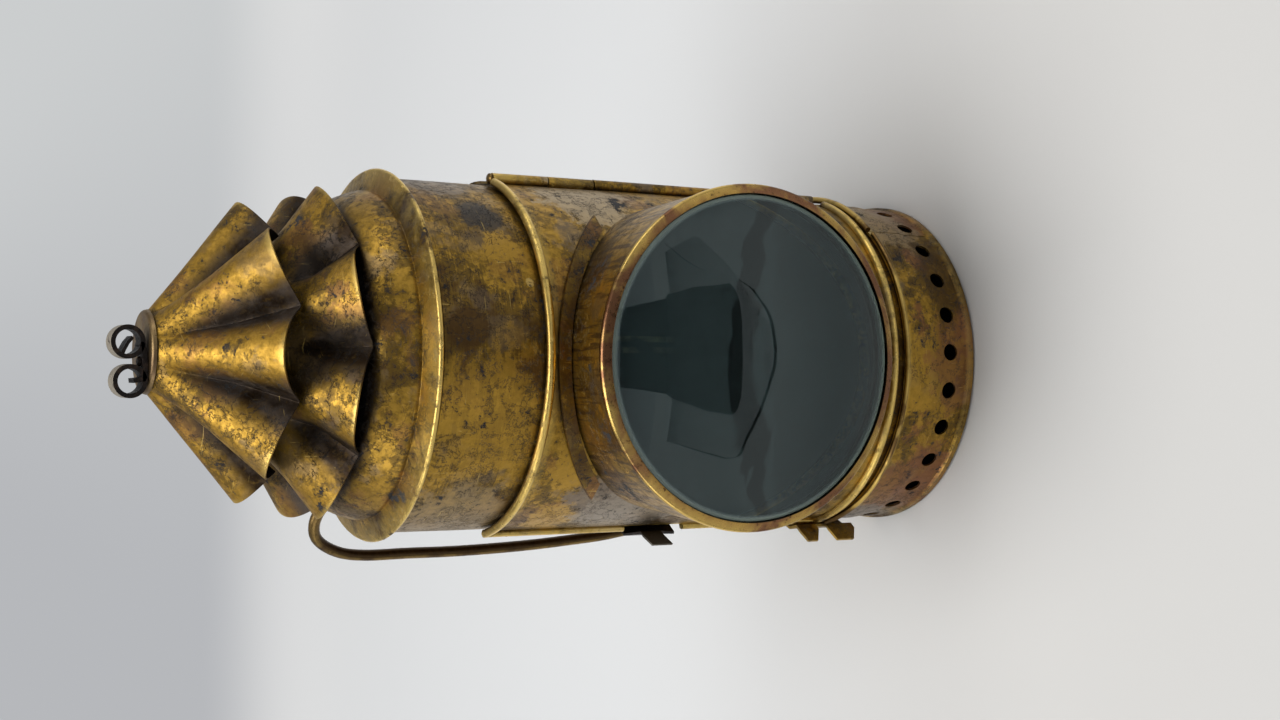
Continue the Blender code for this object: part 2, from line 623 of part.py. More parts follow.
def make_sill():
    """The wire in two lengths, with a cut between them."""
    for name, (start, end), taper in (("sill_wire_front", SILL_FRONT_ANGLES, 1.0),
                                      ("sill_wire_side", SILL_SIDE_ANGLES, 0.0)):
        steps = round((end - start) / SILL_STEP_ANGLE)
        outlines = []
        for step in range(steps + 1):
            angle = start + (end - start) * step / steps
            share = taper * min(1.0, (angle - start) / SILL_TAPER_ANGLE)
            radius = SILL_WIRE_RADIUS + (SILL_LIP_RADIUS - SILL_WIRE_RADIUS) * share
            height = BASE_TOP + SILL_WIRE_RISE + (SILL_LIP_RISE - SILL_WIRE_RISE) * share
            section = circle((BASE_RADIUS + SEAT_GAP + radius, height), radius, 0.0, 360.0, SILL_SIDES)[:-1]
            outlines.append([polar(distance, angle, level) for distance, level in section])
        finish(name, skin(outlines), brass("sill_brass"))


# Hinge: the body's leaf with two knuckles, the door's three knuckles and the pin
def hinge_levels():
    """Edges of the body's two knuckles, mirrored about the hinge's middle."""
    upper = (HINGE_TOP - BODY_KNUCKLE_INSET - BODY_KNUCKLE_LENGTH, HINGE_TOP - BODY_KNUCKLE_INSET)
    lower = (HINGE_BOTTOM + BODY_KNUCKLE_INSET, HINGE_BOTTOM + BODY_KNUCKLE_INSET + BODY_KNUCKLE_LENGTH)
    return lower, upper


def knuckle(low, high):
    place = Matrix.Translation(polar(HINGE_DISTANCE, HINGE_ANGLE))
    return cylinder(KNUCKLE_RADIUS, low, high, SMALL_STEPS, place)


def strap(inner, outer, start, end, low, high, steps):
    """A curved piece of sheet on the tube's side."""
    return revolve([(inner, low), (outer, low), (outer, high), (inner, high)], steps, start, end - start)


def bore_hinge(thing, name):
    hole = cylinder(KNUCKLE_BORE, HINGE_BOTTOM - CUT_OVERRUN, HINGE_TOP + CUT_OVERRUN, SMALL_STEPS,
                    Matrix.Translation(polar(HINGE_DISTANCE, HINGE_ANGLE)))
    combine(thing, hole, "DIFFERENCE", name)


def make_hinge_leaf():
    inner = TUBE_RADIUS + SEAT_GAP
    start = HINGE_ANGLE + LEAF_SETBACK_ANGLE
    sheet = strap(inner, inner + SHEET, start, LEAF_END_ANGLE, HINGE_BOTTOM, HINGE_TOP, 3)
    leaf = finish("hinge_leaf", sheet, brass("leaf_brass"))
    for index, (low, high) in enumerate(hinge_levels()):
        bridge = strap(inner + BRIDGE_INSET, inner + SHEET - BRIDGE_INSET,
                       HINGE_ANGLE - BRIDGE_OVERLAP_ANGLE, start + LEAF_SETBACK_ANGLE,
                       low + BRIDGE_INSET, high - BRIDGE_INSET, 2)
        combine(leaf, bridge, "UNION", "leaf_bridge_%d" % (index + 1))
        combine(leaf, knuckle(low, high), "UNION", "leaf_knuckle_%d" % (index + 1))
    bore_hinge(leaf, "leaf_bore")
    pin_bottom = HINGE_BOTTOM - SEAT_GAP
    head_bottom = HINGE_TOP + SEAT_GAP
    head_top = head_bottom + PIN_HEAD_HEIGHT
    profile = [(0.0, pin_bottom), (PIN_RADIUS, pin_bottom), (PIN_RADIUS, head_bottom),
               (PIN_HEAD_RADIUS, head_bottom), (PIN_HEAD_RADIUS, head_bottom + PIN_HEAD_HEIGHT / 2.0),
               (0.0, head_top)]
    pin = revolve(profile, SMALL_STEPS)
    place = Matrix.Translation(polar(HINGE_DISTANCE, HINGE_ANGLE))
    bmesh.ops.transform(pin, matrix=place, verts=pin.verts)
    finish("hinge_pin", pin, steel("pin_steel"))


# Door sheet
def make_door():
    inner, outer, roll = DOOR_INNER_RADIUS, DOOR_RADIUS, DOOR_ROLL_RADIUS
    lift = math.degrees(math.acos((DOOR_ROLL_CENTRE - outer) / roll))
    top_arc = circle((DOOR_ROLL_CENTRE, DOOR_TOP), roll, lift - 180.0, 180.0, ROLL_STEPS)
    bottom_arc = circle((DOOR_ROLL_CENTRE, DOOR_BOTTOM), roll, 180.0, 540.0 - lift, ROLL_STEPS)
    span = DOOR_HINGE_ANGLE - DOOR_LATCH_ANGLE
    sheet = revolve(bottom_arc + top_arc, DOOR_STEPS, DOOR_LATCH_ANGLE, span)
    door = finish("door_shell", sheet, brass("door_brass"), door_axis)
    hole = face_forward(cylinder(DOOR_HOLE_RADIUS, 0.0, DOOR_RADIUS * 1.5, LENS_STEPS - 4), LENS_HEIGHT)
    combine(door, hole, "DIFFERENCE", "lens_hole")
    edge = polar(LATCH_EDGE_RADIUS, DOOR_LATCH_ANGLE)
    for name, low, high in (("edge_roll_lower", DOOR_BOTTOM - roll / 2.0, LATCH_NOTCH_BOTTOM),
                            ("edge_roll_upper", LATCH_NOTCH_TOP, DOOR_TOP + roll / 2.0)):
        post = cylinder(EDGE_ROLL_RADIUS, low, high, SMALL_STEPS, Matrix.Translation(edge))
        combine(door, post, "UNION", name)
    lower, upper = hinge_levels()
    levels = ((HINGE_BOTTOM, lower[0] - SEAT_GAP), (lower[1] + SEAT_GAP, upper[0] - SEAT_GAP),
              (upper[1] + SEAT_GAP, HINGE_TOP))
    for index, (low, high) in enumerate(levels):
        bridge = strap(inner + BRIDGE_INSET, outer - BRIDGE_INSET, DOOR_HINGE_ANGLE - LEAF_SETBACK_ANGLE,
                       HINGE_ANGLE + BRIDGE_OVERLAP_ANGLE, low + BRIDGE_INSET, high - BRIDGE_INSET, 2)
        combine(door, bridge, "UNION", "door_bridge_%d" % (index + 1))
        combine(door, knuckle(low, high), "UNION", "door_knuckle_%d" % (index + 1))
    bore_hinge(door, "door_bore")


# Lens barrel on the door
def make_barrel():
    wall = BARREL_WALL
    root = BARREL_FRONT_RADIUS - BARREL_TAPER * BARREL_LENGTH
    profile = [(root - wall, 0.0), (root, 0.0),
               (BARREL_FRONT_RADIUS, BARREL_LENGTH), (BARREL_FRONT_RADIUS - wall, BARREL_LENGTH)]
    work = face_forward(revolve(profile, LENS_STEPS), LENS_HEIGHT)
    barrel = finish("lens_barrel", work, brass("barrel_brass", 0.3), door_axis)
    seat = DOOR_RADIUS + SEAT_GAP
    body = cylinder(seat, 0.0, TUBE_TOP, BODY_STEPS + CAP_STEPS)
    combine(barrel, body, "DIFFERENCE", "saddle_cut")
    back = box((-TUBE_RADIUS * 1.5, -CUT_OVERRUN, 0.0), (TUBE_RADIUS * 1.5, TUBE_RADIUS * 1.5, TUBE_TOP))
    combine(barrel, back, "DIFFERENCE", "back_cut")


def make_flanges():
    """Two soldered strips that hold the barrel to the door, above and below it."""
    inner_radius = BARREL_ROOT_RADIUS + BARREL_TAPER * (SEAT_GAP + SHEET) + SEAT_GAP
    outer_radius = inner_radius + FLANGE_WIDTH
    seat = DOOR_RADIUS + SEAT_GAP
    rise = inner_radius * math.cos(math.radians(FLANGE_HALF_ANGLE))
    for name, side in (("barrel_flange_upper", 1.0), ("barrel_flange_lower", -1.0)):
        ends = sorted((LENS_HEIGHT + side * rise, LENS_HEIGHT + side * (outer_radius + CUT_OVERRUN)))
        sheet = strap(seat, seat + SHEET, -FLANGE_SWEEP_ANGLE, FLANGE_SWEEP_ANGLE, ends[0], ends[1],
                      FLANGE_STEPS)
        flange = finish(name, sheet, brass("flange_brass", 0.8), door_axis)
        ring = [(inner_radius, 0.0), (outer_radius, 0.0),
                (outer_radius, DOOR_RADIUS * 1.5), (inner_radius, DOOR_RADIUS * 1.5)]
        combine(flange, face_forward(revolve(ring, LENS_STEPS), LENS_HEIGHT), "INTERSECT", name + "_outline")


def make_rim():
    bead = RIM_BEAD_RADIUS
    bead_centre = (RIM_RADIUS - bead, RIM_BEAD_FORWARD)
    front = BARREL_FRONT_RADIUS - BARREL_WALL - SEAT_GAP
    profile = [(RIM_BORE_RADIUS, RIM_BACK), (RIM_BORE_RADIUS + RIM_SHEET, RIM_BACK),
               (front, RIM_BEAD_FORWARD - bead)]
    profile += circle(bead_centre, bead, -90.0, 90.0, ROLL_STEPS)
    profile += [(RIM_LIP_RADIUS + RIM_SHEET, RIM_LIP_FORWARD), (RIM_LIP_RADIUS, RIM_LIP_FORWARD),
                (RIM_LIP_RADIUS, RIM_LIP_FORWARD - RIM_SHEET), (RIM_BORE_RADIUS, RIM_BEAD_FORWARD)]
    work = face_forward(revolve(profile, LENS_STEPS), LENS_HEIGHT)
    finish("lens_rim", work, brass("rim_brass"), door_axis)


def barrel_bore_at(forward):
    return BARREL_FRONT_RADIUS - BARREL_TAPER * (BARREL_LENGTH - forward) - BARREL_WALL


def make_glass():
    """Plano-convex glass: a flat back, a cylindrical edge and a domed front."""
    seat = RIM_LIP_FORWARD - RIM_SHEET - SEAT_GAP
    edge_radius = RIM_BORE_RADIUS - SEAT_GAP
    dome_radius = RIM_LIP_RADIUS - SEAT_GAP
    shoulder = RIM_BEAD_FORWARD - SEAT_GAP
    back = shoulder - GLASS_EDGE_THICKNESS
    profile = [(0.0, back), (edge_radius, back), (edge_radius, shoulder), (dome_radius, seat)]
    curve = (dome_radius ** 2 + GLASS_DOME_HEIGHT ** 2) / (2.0 * GLASS_DOME_HEIGHT)
    for share in (0.92, 0.78, 0.6, 0.4, 0.2):
        radius = dome_radius * share
        sag = curve - math.sqrt(curve ** 2 - radius ** 2)
        profile.append((radius, seat + GLASS_DOME_HEIGHT - sag))
    profile.append((0.0, seat + GLASS_DOME_HEIGHT))
    work = face_forward(revolve(profile, LENS_STEPS), LENS_HEIGHT)
    glass = principled("lens_glass", (0.55, 0.62, 0.6), 0.0, 0.05, 0.9)
    finish("lens_glass", work, glass, door_axis)
    ring_outer = barrel_bore_at(back - SEAT_GAP - RETAINER_DEPTH) - SEAT_GAP
    ring_inner = ring_outer - RETAINER_WIDTH
    ring_front = back - SEAT_GAP
    ring_back = ring_front - RETAINER_DEPTH
    ring = [(ring_inner, ring_back), (ring_outer, ring_back),
            (ring_outer, ring_front), (ring_inner, ring_front)]
    work = face_forward(revolve(ring, LENS_STEPS), LENS_HEIGHT)
    finish("lens_retaining_ring", work, brass("retainer_brass"), door_axis)


# Turning top: cap, shutter sleeve and the ring that keeps them on the tube
def offset_profile(points, distance):
    """The same open outline, moved square to itself."""
    result = []
    for index, point in enumerate(points):
        before = Vector(points[max(index - 1, 0)])
        after = Vector(points[min(index + 1, len(points) - 1)])
        along = (after - before).normalized()
        result.append((point[0] - along.y * distance, point[1] + along.x * distance))
    return result


def dome_outline():
    """Outer face of the cap from its shoulder to its neck."""
    width = SHOULDER_RADIUS - NECK_RADIUS
    return [(NECK_RADIUS + width * out, SHOULDER_HEIGHT + DOME_HEIGHT * up)
            for out, up in DOME_PROFILE_SHARES]


def dome_height_at(radius):
    outline = dome_outline()
    for (r1, z1), (r2, z2) in zip(outline, outline[1:]):
        if r2 <= radius <= r1:
            return z1 + (z2 - z1) * (r1 - radius) / (r1 - r2)
    return outline[-1][1]


def make_cap():
    bead_centre = (BRIM_RADIUS - BRIM_BEAD_RADIUS, BRIM_HEIGHT)
    neck_top = SHOULDER_HEIGHT + DOME_HEIGHT + NECK_HEIGHT
    outline = [(bead_centre[0], bead_centre[1] + BRIM_BEAD_RADIUS), (SHOULDER_RADIUS, SHOULDER_HEIGHT)]
    outline += dome_outline()
    outline.append((NECK_RADIUS, neck_top))
    under = offset_profile(outline, SHEET)
    under[-1] = (NECK_RADIUS - SHEET, neck_top)
    profile = circle(bead_centre, BRIM_BEAD_RADIUS, -180.0, 90.0, 4)
    profile += outline[1:] + list(reversed(under[1:]))
    finish("cap", revolve(profile, CAP_STEPS), brass("cap_brass", 0.3), crown_axis)


def make_shutter():
    rise = (BRIM_HEIGHT - SHOULDER_HEIGHT) / (BRIM_RADIUS - SHOULDER_RADIUS)
    top = SHOULDER_HEIGHT + rise * (SLEEVE_RADIUS - SHOULDER_RADIUS) - SHEET - 2.0 * SEAT_GAP
    bead_top = BEARING_BOTTOM - SEAT_GAP
    bead_low = bead_top - SLEEVE_BEAD_HEIGHT
    bulge = SLEEVE_RADIUS + SLEEVE_BEAD_BULGE
    profile = [(SLEEVE_INNER_RADIUS, SLEEVE_BOTTOM), (SLEEVE_RADIUS, SLEEVE_BOTTOM),
               (SLEEVE_RADIUS, bead_low), (bulge, bead_low + SLEEVE_BEAD_HEIGHT * 0.3),
               (bulge, bead_top - SLEEVE_BEAD_HEIGHT * 0.3),
               (SLEEVE_RADIUS, bead_top), (SLEEVE_RADIUS, top), (SLEEVE_INNER_RADIUS, top)]
    sleeve = finish("shutter_sleeve", revolve(profile, CAP_STEPS), brass("sleeve_brass", 0.8), crown_axis)
    depth = SLEEVE_RADIUS * math.cos(math.radians(SLEEVE_HALF_ANGLE))
    reach = SLEEVE_RADIUS * 1.5
    back = box((-reach, -depth, SLEEVE_BOTTOM - CUT_OVERRUN), (reach, reach, SLEEVE_RING_BOTTOM))
    combine(sleeve, back, "DIFFERENCE", "shutter_opening")
    ring_outer = TUBE_INNER_RADIUS - SEAT_GAP
    ring_inner = SLEEVE_RADIUS + SEAT_GAP
    ring_top = BEARING_BOTTOM + BEARING_HEIGHT
    ring = [(ring_inner, BEARING_BOTTOM), (ring_outer, BEARING_BOTTOM),
            (ring_outer, ring_top), (ring_inner, ring_top)]
    finish("bearing_ring", revolve(ring, CAP_STEPS), brass("bearing_brass"))


# Chimney and crowns
def make_chimney():
    inner = CHIMNEY_RADIUS - SHEET
    profile = [(inner, CHIMNEY_BOTTOM), (CHIMNEY_RADIUS, CHIMNEY_BOTTOM),
               (CHIMNEY_RADIUS, CHIMNEY_TOP), (inner, CHIMNEY_TOP)]
    tube = revolve(profile, INNER_STEPS + 4)
    chimney = finish("chimney_tube", tube, brass("chimney_brass", 1.0), crown_axis)
    holes = []
    for index in range(CHIMNEY_VENT_COUNT):
        place = radial_place(360.0 * (index + 0.5) / CHIMNEY_VENT_COUNT, CHIMNEY_VENT_HEIGHT)
        low, high = inner - CUT_OVERRUN, CHIMNEY_RADIUS + CUT_OVERRUN
        holes.append(cylinder(CHIMNEY_VENT_RADIUS, low, high, HOLE_STEPS, place))
    combine(chimney, merge(*holes), "DIFFERENCE", "chimney_vents")


def fluted_crown(name, top, ridge, valley_line, flutes, material):
    """A fluted cone of sheet, given by (radius, height) points of its outer face.

    Ridges run straight from top to ridge, and valleys along their own line. The flutes start at the
    first ridge's angle. A low sharpness makes broad lobes; unevenness makes every second one wide.
    """
    first_ridge, sharpness, unevenness = flutes
    ridge_line = [(top[0] + (ridge[0] - top[0]) * share, top[1] + (ridge[1] - top[1]) * share)
                  for share in CROWN_LEVEL_SHARES]
    outlines = []
    for step in range(CROWN_STEPS):
        phase = math.tau * LOBE_COUNT * step / CROWN_STEPS
        skew = math.degrees(unevenness * math.sin(phase / 2.0) / LOBE_COUNT)
        angle = first_ridge + 360.0 * step / CROWN_STEPS - skew
        swell = abs(math.cos(phase / 2.0)) ** sharpness
        outer = [(low[0] + (high[0] - low[0]) * swell, low[1] + (high[1] - low[1]) * swell)
                 for high, low in zip(ridge_line, valley_line)]
        slope = Vector((outer[-1][0] - top[0], outer[-1][1] - top[1])).normalized()
        inner = [(radius + slope.y * SHEET, height - slope.x * SHEET) for radius, height in outer]
        outlines.append([polar(radius, angle, height) for radius, height in outer + inner[::-1]])
    return finish(name, skin(outlines, whole=True), material, crown_axis)


def make_crowns():
    lower_top = (LOWER_TOP_RADIUS, LOWER_TOP_HEIGHT)
    lower_valley = (LOWER_VALLEY_RADIUS, dome_height_at(LOWER_VALLEY_RADIUS) + LOWER_VALLEY_LIFT)
    fluted_crown("lower_crown", lower_top, (LOWER_RIDGE_RADIUS, LOWER_RIDGE_HEIGHT),
                 (lower_top, LOWER_VALLEY_MIDDLE, lower_valley),
                 (LOWER_FIRST_RIDGE, LOWER_SHARPNESS, LOWER_UNEVENNESS), brass("lower_crown_brass"))
    upper_top = (UPPER_TOP_RADIUS, UPPER_TOP_HEIGHT)
    upper_valley = (UPPER_VALLEY_RADIUS, UPPER_VALLEY_HEIGHT)
    fluted_crown("upper_crown", upper_top, (UPPER_RIDGE_RADIUS, UPPER_RIDGE_HEIGHT),
                 (upper_top, UPPER_VALLEY_MIDDLE, upper_valley),
                 (UPPER_FIRST_RIDGE, UPPER_SHARPNESS, UPPER_UNEVENNESS), brass("upper_crown_brass"))


# Plate, scroll and rivet on top
def make_top():
    spot = Matrix.Translation((SCROLL_OFFSET, -SCROLL_FORWARD, 0.0))
    hole = FINIAL_RIVET_RADIUS + SEAT_GAP
    plate = finish("top_plate", cylinder(PLATE_RADIUS, PLATE_BOTTOM, PLATE_TOP, INNER_STEPS),
                   brass("plate_brass", 0.5), crown_axis)
    bore = cylinder(hole, PLATE_BOTTOM - CUT_OVERRUN, PLATE_TOP + SCROLL_RADIUS, HOLE_STEPS, spot)
    combine(plate, bore, "DIFFERENCE", "plate_hole")
    base = PLATE_TOP + SEAT_GAP + SCROLL_SHEET / 2.0
    middle = SCROLL_RADIUS - SCROLL_SHEET / 2.0
    curl = []
    for step in range(SCROLL_STEPS + 1):
        turn = SCROLL_TURN * step / SCROLL_STEPS
        shrink = max(0.0, (turn - SCROLL_OUTER_TURN) / (SCROLL_TURN - SCROLL_OUTER_TURN))
        radius = middle * (1.0 - (1.0 - SCROLL_INNER_SHARE) * shrink)
        bearing = math.radians(turn - 90.0)
        curl.append((SCROLL_SPACING / 2.0 + radius * math.cos(bearing),
                     base + middle + radius * math.sin(bearing)))
    right = [Vector((SCROLL_OFFSET + x, -SCROLL_FORWARD, z)) for x, z in curl]
    left = [Vector((SCROLL_OFFSET - x, -SCROLL_FORWARD, z)) for x, z in curl]
    path = list(reversed(left)) + right
    spans = [(-SCROLL_WIDTH / 2.0, SCROLL_WIDTH / 2.0)] * len(path)
    scroll = finish("scroll_finial", ribbon(path, spans, Vector((0.0, 1.0, 0.0)), SCROLL_SHEET),
                    steel("scroll_iron"), crown_axis)
    bore = cylinder(hole, PLATE_BOTTOM, PLATE_TOP + SCROLL_RADIUS, HOLE_STEPS, spot)
    combine(scroll, bore, "DIFFERENCE", "scroll_hole")
    tail = PLATE_BOTTOM - SEAT_GAP
    seat = PLATE_TOP + SCROLL_SHEET + 2.0 * SEAT_GAP
    head = FINIAL_RIVET_HEAD_RADIUS
    profile = [(0.0, tail - RIVET_HEAD_HEIGHT), (head, tail - RIVET_HEAD_HEIGHT), (head, tail),
               (FINIAL_RIVET_RADIUS, tail), (FINIAL_RIVET_RADIUS, seat), (head, seat),
               (head * 0.75, seat + RIVET_HEAD_HEIGHT * 0.7), (0.0, seat + RIVET_HEAD_HEIGHT)]
    work = revolve(profile, HOLE_STEPS)
    bmesh.ops.transform(work, matrix=spot, verts=work.verts)
    finish("finial_rivet", work, steel("rivet_steel"), crown_axis)


# Wire handles, which swing in sleeves at the back
def make_handles():
    bore = HANDLE_WIRE_RADIUS + SEAT_GAP
    for side_name, side, heading in (("left", -1.0, LEFT_HANDLE_HEADING),
                                     ("right", 1.0, RIGHT_HANDLE_HEADING)):
        angle = side * BRACKET_ANGLE
        root = polar(HANDLE_DISTANCE, angle)
        axis = axis_empty(side_name + "_handle_axis", root)
        for level, low in (("upper", UPPER_BRACKET_HEIGHT), ("lower", LOWER_BRACKET_HEIGHT)):
            high = low + BRACKET_HEIGHT
            inner = TUBE_RADIUS + SEAT_GAP
            pad = strap(inner, inner + BRACKET_WALL, angle - BRACKET_HALF_ANGLE, angle + BRACKET_HALF_ANGLE,
                        low, high, 3)
            name = "handle_bracket_%s_%s" % (side_name, level)
            bracket = finish(name, pad, brass("bracket_brass", 0.3))
            place = Matrix.Translation(root)
            sleeve = cylinder(BRACKET_RADIUS, low, high, SMALL_STEPS, place)
            combine(bracket, sleeve, "UNION", name + "_sleeve")
            hole = cylinder(bore, low - CUT_OVERRUN, high + CUT_OVERRUN, SMALL_STEPS, place)
            combine(bracket, hole, "DIFFERENCE", name + "_bore")
        turn = math.radians(heading)
        outward = Vector((math.cos(turn), math.sin(turn), 0.0))
        height = HANDLE_CROWN_HEIGHT - HANDLE_HEEL_HEIGHT
        path = [root + Vector((0.0, 0.0, UPPER_BRACKET_HEIGHT - HANDLE_END_OVERHANG)),
                root + Vector((0.0, 0.0, UPPER_BRACKET_HEIGHT + BRACKET_HEIGHT))]
        for out, up in HANDLE_CURVE_SHARES:
            level = Vector((0.0, 0.0, HANDLE_HEEL_HEIGHT + height * up))
            path.append(root + outward * (HANDLE_REACH * out) + level)
        path.append(root + Vector((0.0, 0.0, LOWER_BRACKET_HEIGHT)))
        path.append(root + Vector((0.0, 0.0, LOWER_BRACKET_HEIGHT + BRACKET_HEIGHT + HANDLE_END_OVERHANG)))
        curve = path[:1] + smooth_curve(path[1:-1], 2) + path[-1:]
        finish(side_name + "_handle", wire(curve, HANDLE_WIRE_RADIUS, 8), brass("handle_wire", 0.9), axis)


# Belt clip on the back, held by two rivets
def make_belt_clip():
    inner = TUBE_RADIUS + SEAT_GAP + CLIP_SHEET / 2.0
    out = inner + CLIP_STANDOFF
    heights = [(inner, CLIP_TOP), (inner, CLIP_TOP - CLIP_PAD_LENGTH),
               (out, CLIP_TOP - CLIP_PAD_LENGTH - CLIP_BEND), (out, CLIP_BOTTOM + 2.0 * CLIP_BEND),
               (inner + CLIP_STANDOFF / 2.0, CLIP_BOTTOM + CLIP_BEND), (out + CLIP_LIP / 2.0, CLIP_BOTTOM)]
    path = [Vector((0.0, radius, height)) for radius, height in heights]
    spans = [(-CLIP_WIDTH / 2.0, CLIP_WIDTH / 2.0)] * len(path)
    strip = ribbon(path, spans, Vector((1.0, 0.0, 0.0)), CLIP_SHEET)
    clip = finish("belt_clip", strip, brass("clip_brass", 0.5))
    for index, height in enumerate(CLIP_RIVET_HEIGHTS):
        rivet_hole(clip, 180.0, height, "belt_clip_hole_%d" % (index + 1))
        rivet("belt_clip_rivet_%d" % (index + 1), 180.0, height, TUBE_INNER_RADIUS, inner + CLIP_SHEET / 2.0,
              brass("clip_rivet_brass"))


# Door catches: leaves riveted to the body that spring outward
def catch_path(base_radius, tail_angle, reach, sheet):
    """Middle line of a catch: along the body, out over the door's edge, then flared as a tab."""
    margin = math.degrees((EDGE_ROLL_RADIUS + SEAT_GAP) / TUBE_RADIUS)
    behind = DOOR_LATCH_ANGLE - margin
    ahead = DOOR_LATCH_ANGLE + margin
    step = math.degrees(2.0 * EDGE_ROLL_RADIUS / TUBE_RADIUS)
    low = base_radius + sheet / 2.0
    high = LATCH_EDGE_RADIUS + EDGE_ROLL_RADIUS + SEAT_GAP + sheet / 2.0
    bend = behind - 1.5 * step
    body = [(low, tail_angle + (bend - tail_angle) * share) for share in CATCH_LEAF_SHARES]
    hook = [(high, behind - 0.2 * step), (high, ahead)]
    tab = [(high + reach * 0.3, ahead + step * 0.5), (high + reach, ahead + step)]
    return body, hook, tab


def make_upper_catch():
    base = TUBE_RADIUS + SEAT_GAP
    body, hook, tab = catch_path(base, UPPER_CATCH_TAIL_ANGLE, UPPER_TAB_REACH, UPPER_CATCH_SHEET)
    axis = axis_empty("upper_catch_axis",
                      polar(base + UPPER_CATCH_SHEET / 2.0, UPPER_CATCH_RIVET_ANGLE, UPPER_RIVET_HEIGHT))
    path = [polar(radius, angle) for radius, angle in body + hook + tab]
    leaf = (UPPER_CATCH_BOTTOM, UPPER_CATCH_TOP)
    spans = [leaf] * (len(body) + 1) + [(UPPER_TAB_BOTTOM, UPPER_TAB_TOP)] * 2
    spans.append((UPPER_TAB_BOTTOM - UPPER_TAB_DROP, UPPER_TAB_TOP - UPPER_TAB_DROP))
    catch = finish("upper_catch", ribbon(path, spans, Vector((0.0, 0.0, 1.0)), UPPER_CATCH_SHEET),
                   steel("catch_steel"), axis)
    rivet_hole(catch, UPPER_CATCH_RIVET_ANGLE, UPPER_RIVET_HEIGHT, "upper_catch_leaf_hole")
    rivet("upper_catch_rivet", UPPER_CATCH_RIVET_ANGLE, UPPER_RIVET_HEIGHT, TUBE_INNER_RADIUS,
          base + UPPER_CATCH_SHEET + SEAT_GAP, steel("catch_rivet_steel"))


def make_lower_catch():
    base = BASE_RADIUS + SEAT_GAP
    body, hook, tab = catch_path(base, LOWER_CATCH_TAIL_ANGLE, LOWER_TAB_REACH, LOWER_CATCH_SHEET)
    middle = base + LOWER_CATCH_SHEET / 2.0
    axis = axis_empty("lower_catch_axis", polar(middle, LOWER_CATCH_RIVET_ANGLE, LOWER_CATCH_RIVET_HEIGHT))
    up = Vector((0.0, 0.0, 1.0))
    corner = LOWER_TAB_CORNER
    path = [polar(radius, angle) for radius, angle in body + hook]
    leaf = [(LOWER_CATCH_BOTTOM, LOWER_CATCH_TOP)] * len(path)
    strip = ribbon(path, leaf, up, LOWER_CATCH_SHEET)
    catch = finish("lower_catch", strip, brass("lower_catch_brass"), axis)
    for name, low, high in (("lower_tab", LOWER_CATCH_BOTTOM, LOWER_TAB_SPLIT_BOTTOM),
                            ("upper_tab", LOWER_TAB_SPLIT_TOP, LOWER_CATCH_TOP)):
        fin = [polar(radius, angle) for radius, angle in hook[:1] + hook[1:] + tab]
        spans = [(low, high)] * (len(fin) - 1) + [(low + corner, high - corner)]
        combine(catch, ribbon(fin, spans, up, LOWER_CATCH_SHEET), "UNION", name)
    rivet_hole(catch, LOWER_CATCH_RIVET_ANGLE, LOWER_CATCH_RIVET_HEIGHT, "lower_catch_leaf_hole")
    rivet("lower_catch_rivet", LOWER_CATCH_RIVET_ANGLE, LOWER_CATCH_RIVET_HEIGHT, TUBE_INNER_RADIUS,
          base + LOWER_CATCH_SHEET + SEAT_GAP, brass("lower_rivet_brass"))


# Oil font, burner, wick and filler
def make_font():
    wall = FONT_WALL
    inner_top = FONT_TOP - wall
    hole = BURNER_HOLE_RADIUS
    shoulder = FONT_TOP - FONT_SHOULDER
    profile = [(0.0, FONT_BOTTOM), (FONT_RADIUS, FONT_BOTTOM), (FONT_RADIUS, shoulder),
               (FONT_RADIUS - FONT_SHOULDER, FONT_TOP), (hole, FONT_TOP), (hole, inner_top),
               (FONT_RADIUS - FONT_SHOULDER, inner_top), (FONT_RADIUS - wall, shoulder - wall / 2.0),
               (FONT_RADIUS - wall, FONT_BOTTOM + wall), (0.0, FONT_BOTTOM + wall)]
    font = finish("oil_font", revolve(profile, INNER_STEPS), brass("font_tin", 0.2))
    spot = polar(FILLER_DISTANCE, FILLER_ANGLE)
    filler = cylinder(FILLER_HOLE_RADIUS + SEAT_GAP, inner_top - CUT_OVERRUN, FONT_TOP + CUT_OVERRUN,
                      SMALL_STEPS, Matrix.Translation(spot))
    combine(font, filler, "DIFFERENCE", "filler_hole")
    cap_bottom = FONT_TOP + SEAT_GAP
    cap = [(0.0, cap_bottom - FILLER_PLUG_DEPTH), (FILLER_HOLE_RADIUS, cap_bottom - FILLER_PLUG_DEPTH),
           (FILLER_HOLE_RADIUS, cap_bottom), (FILLER_CAP_RADIUS, cap_bottom),
           (FILLER_CAP_RADIUS, cap_bottom + FILLER_CAP_HEIGHT * 0.7),
           (FILLER_CAP_RADIUS * 0.8, cap_bottom + FILLER_CAP_HEIGHT), (0.0, cap_bottom + FILLER_CAP_HEIGHT)]
    work = revolve(cap, 16)
    bmesh.ops.transform(work, matrix=Matrix.Translation(spot), verts=work.verts)
    finish("filler_cap", work, brass("filler_brass"))
    ring_inner = FONT_RADIUS + SEAT_GAP
    ring_bottom = FLOOR_SHEET + SEAT_GAP
    ring_top = ring_bottom + FONT_RING_HEIGHT
    ring = [(ring_inner, ring_bottom), (ring_inner + FONT_RING_WALL, ring_bottom),
            (ring_inner + FONT_RING_WALL, ring_top), (ring_inner, ring_top)]
    finish("font_ring", revolve(ring, INNER_STEPS), brass("font_ring_brass", 0.4))


def slab(width, depth, low, high):
    return box((-width / 2.0, -depth / 2.0, low), (width / 2.0, depth / 2.0, high))


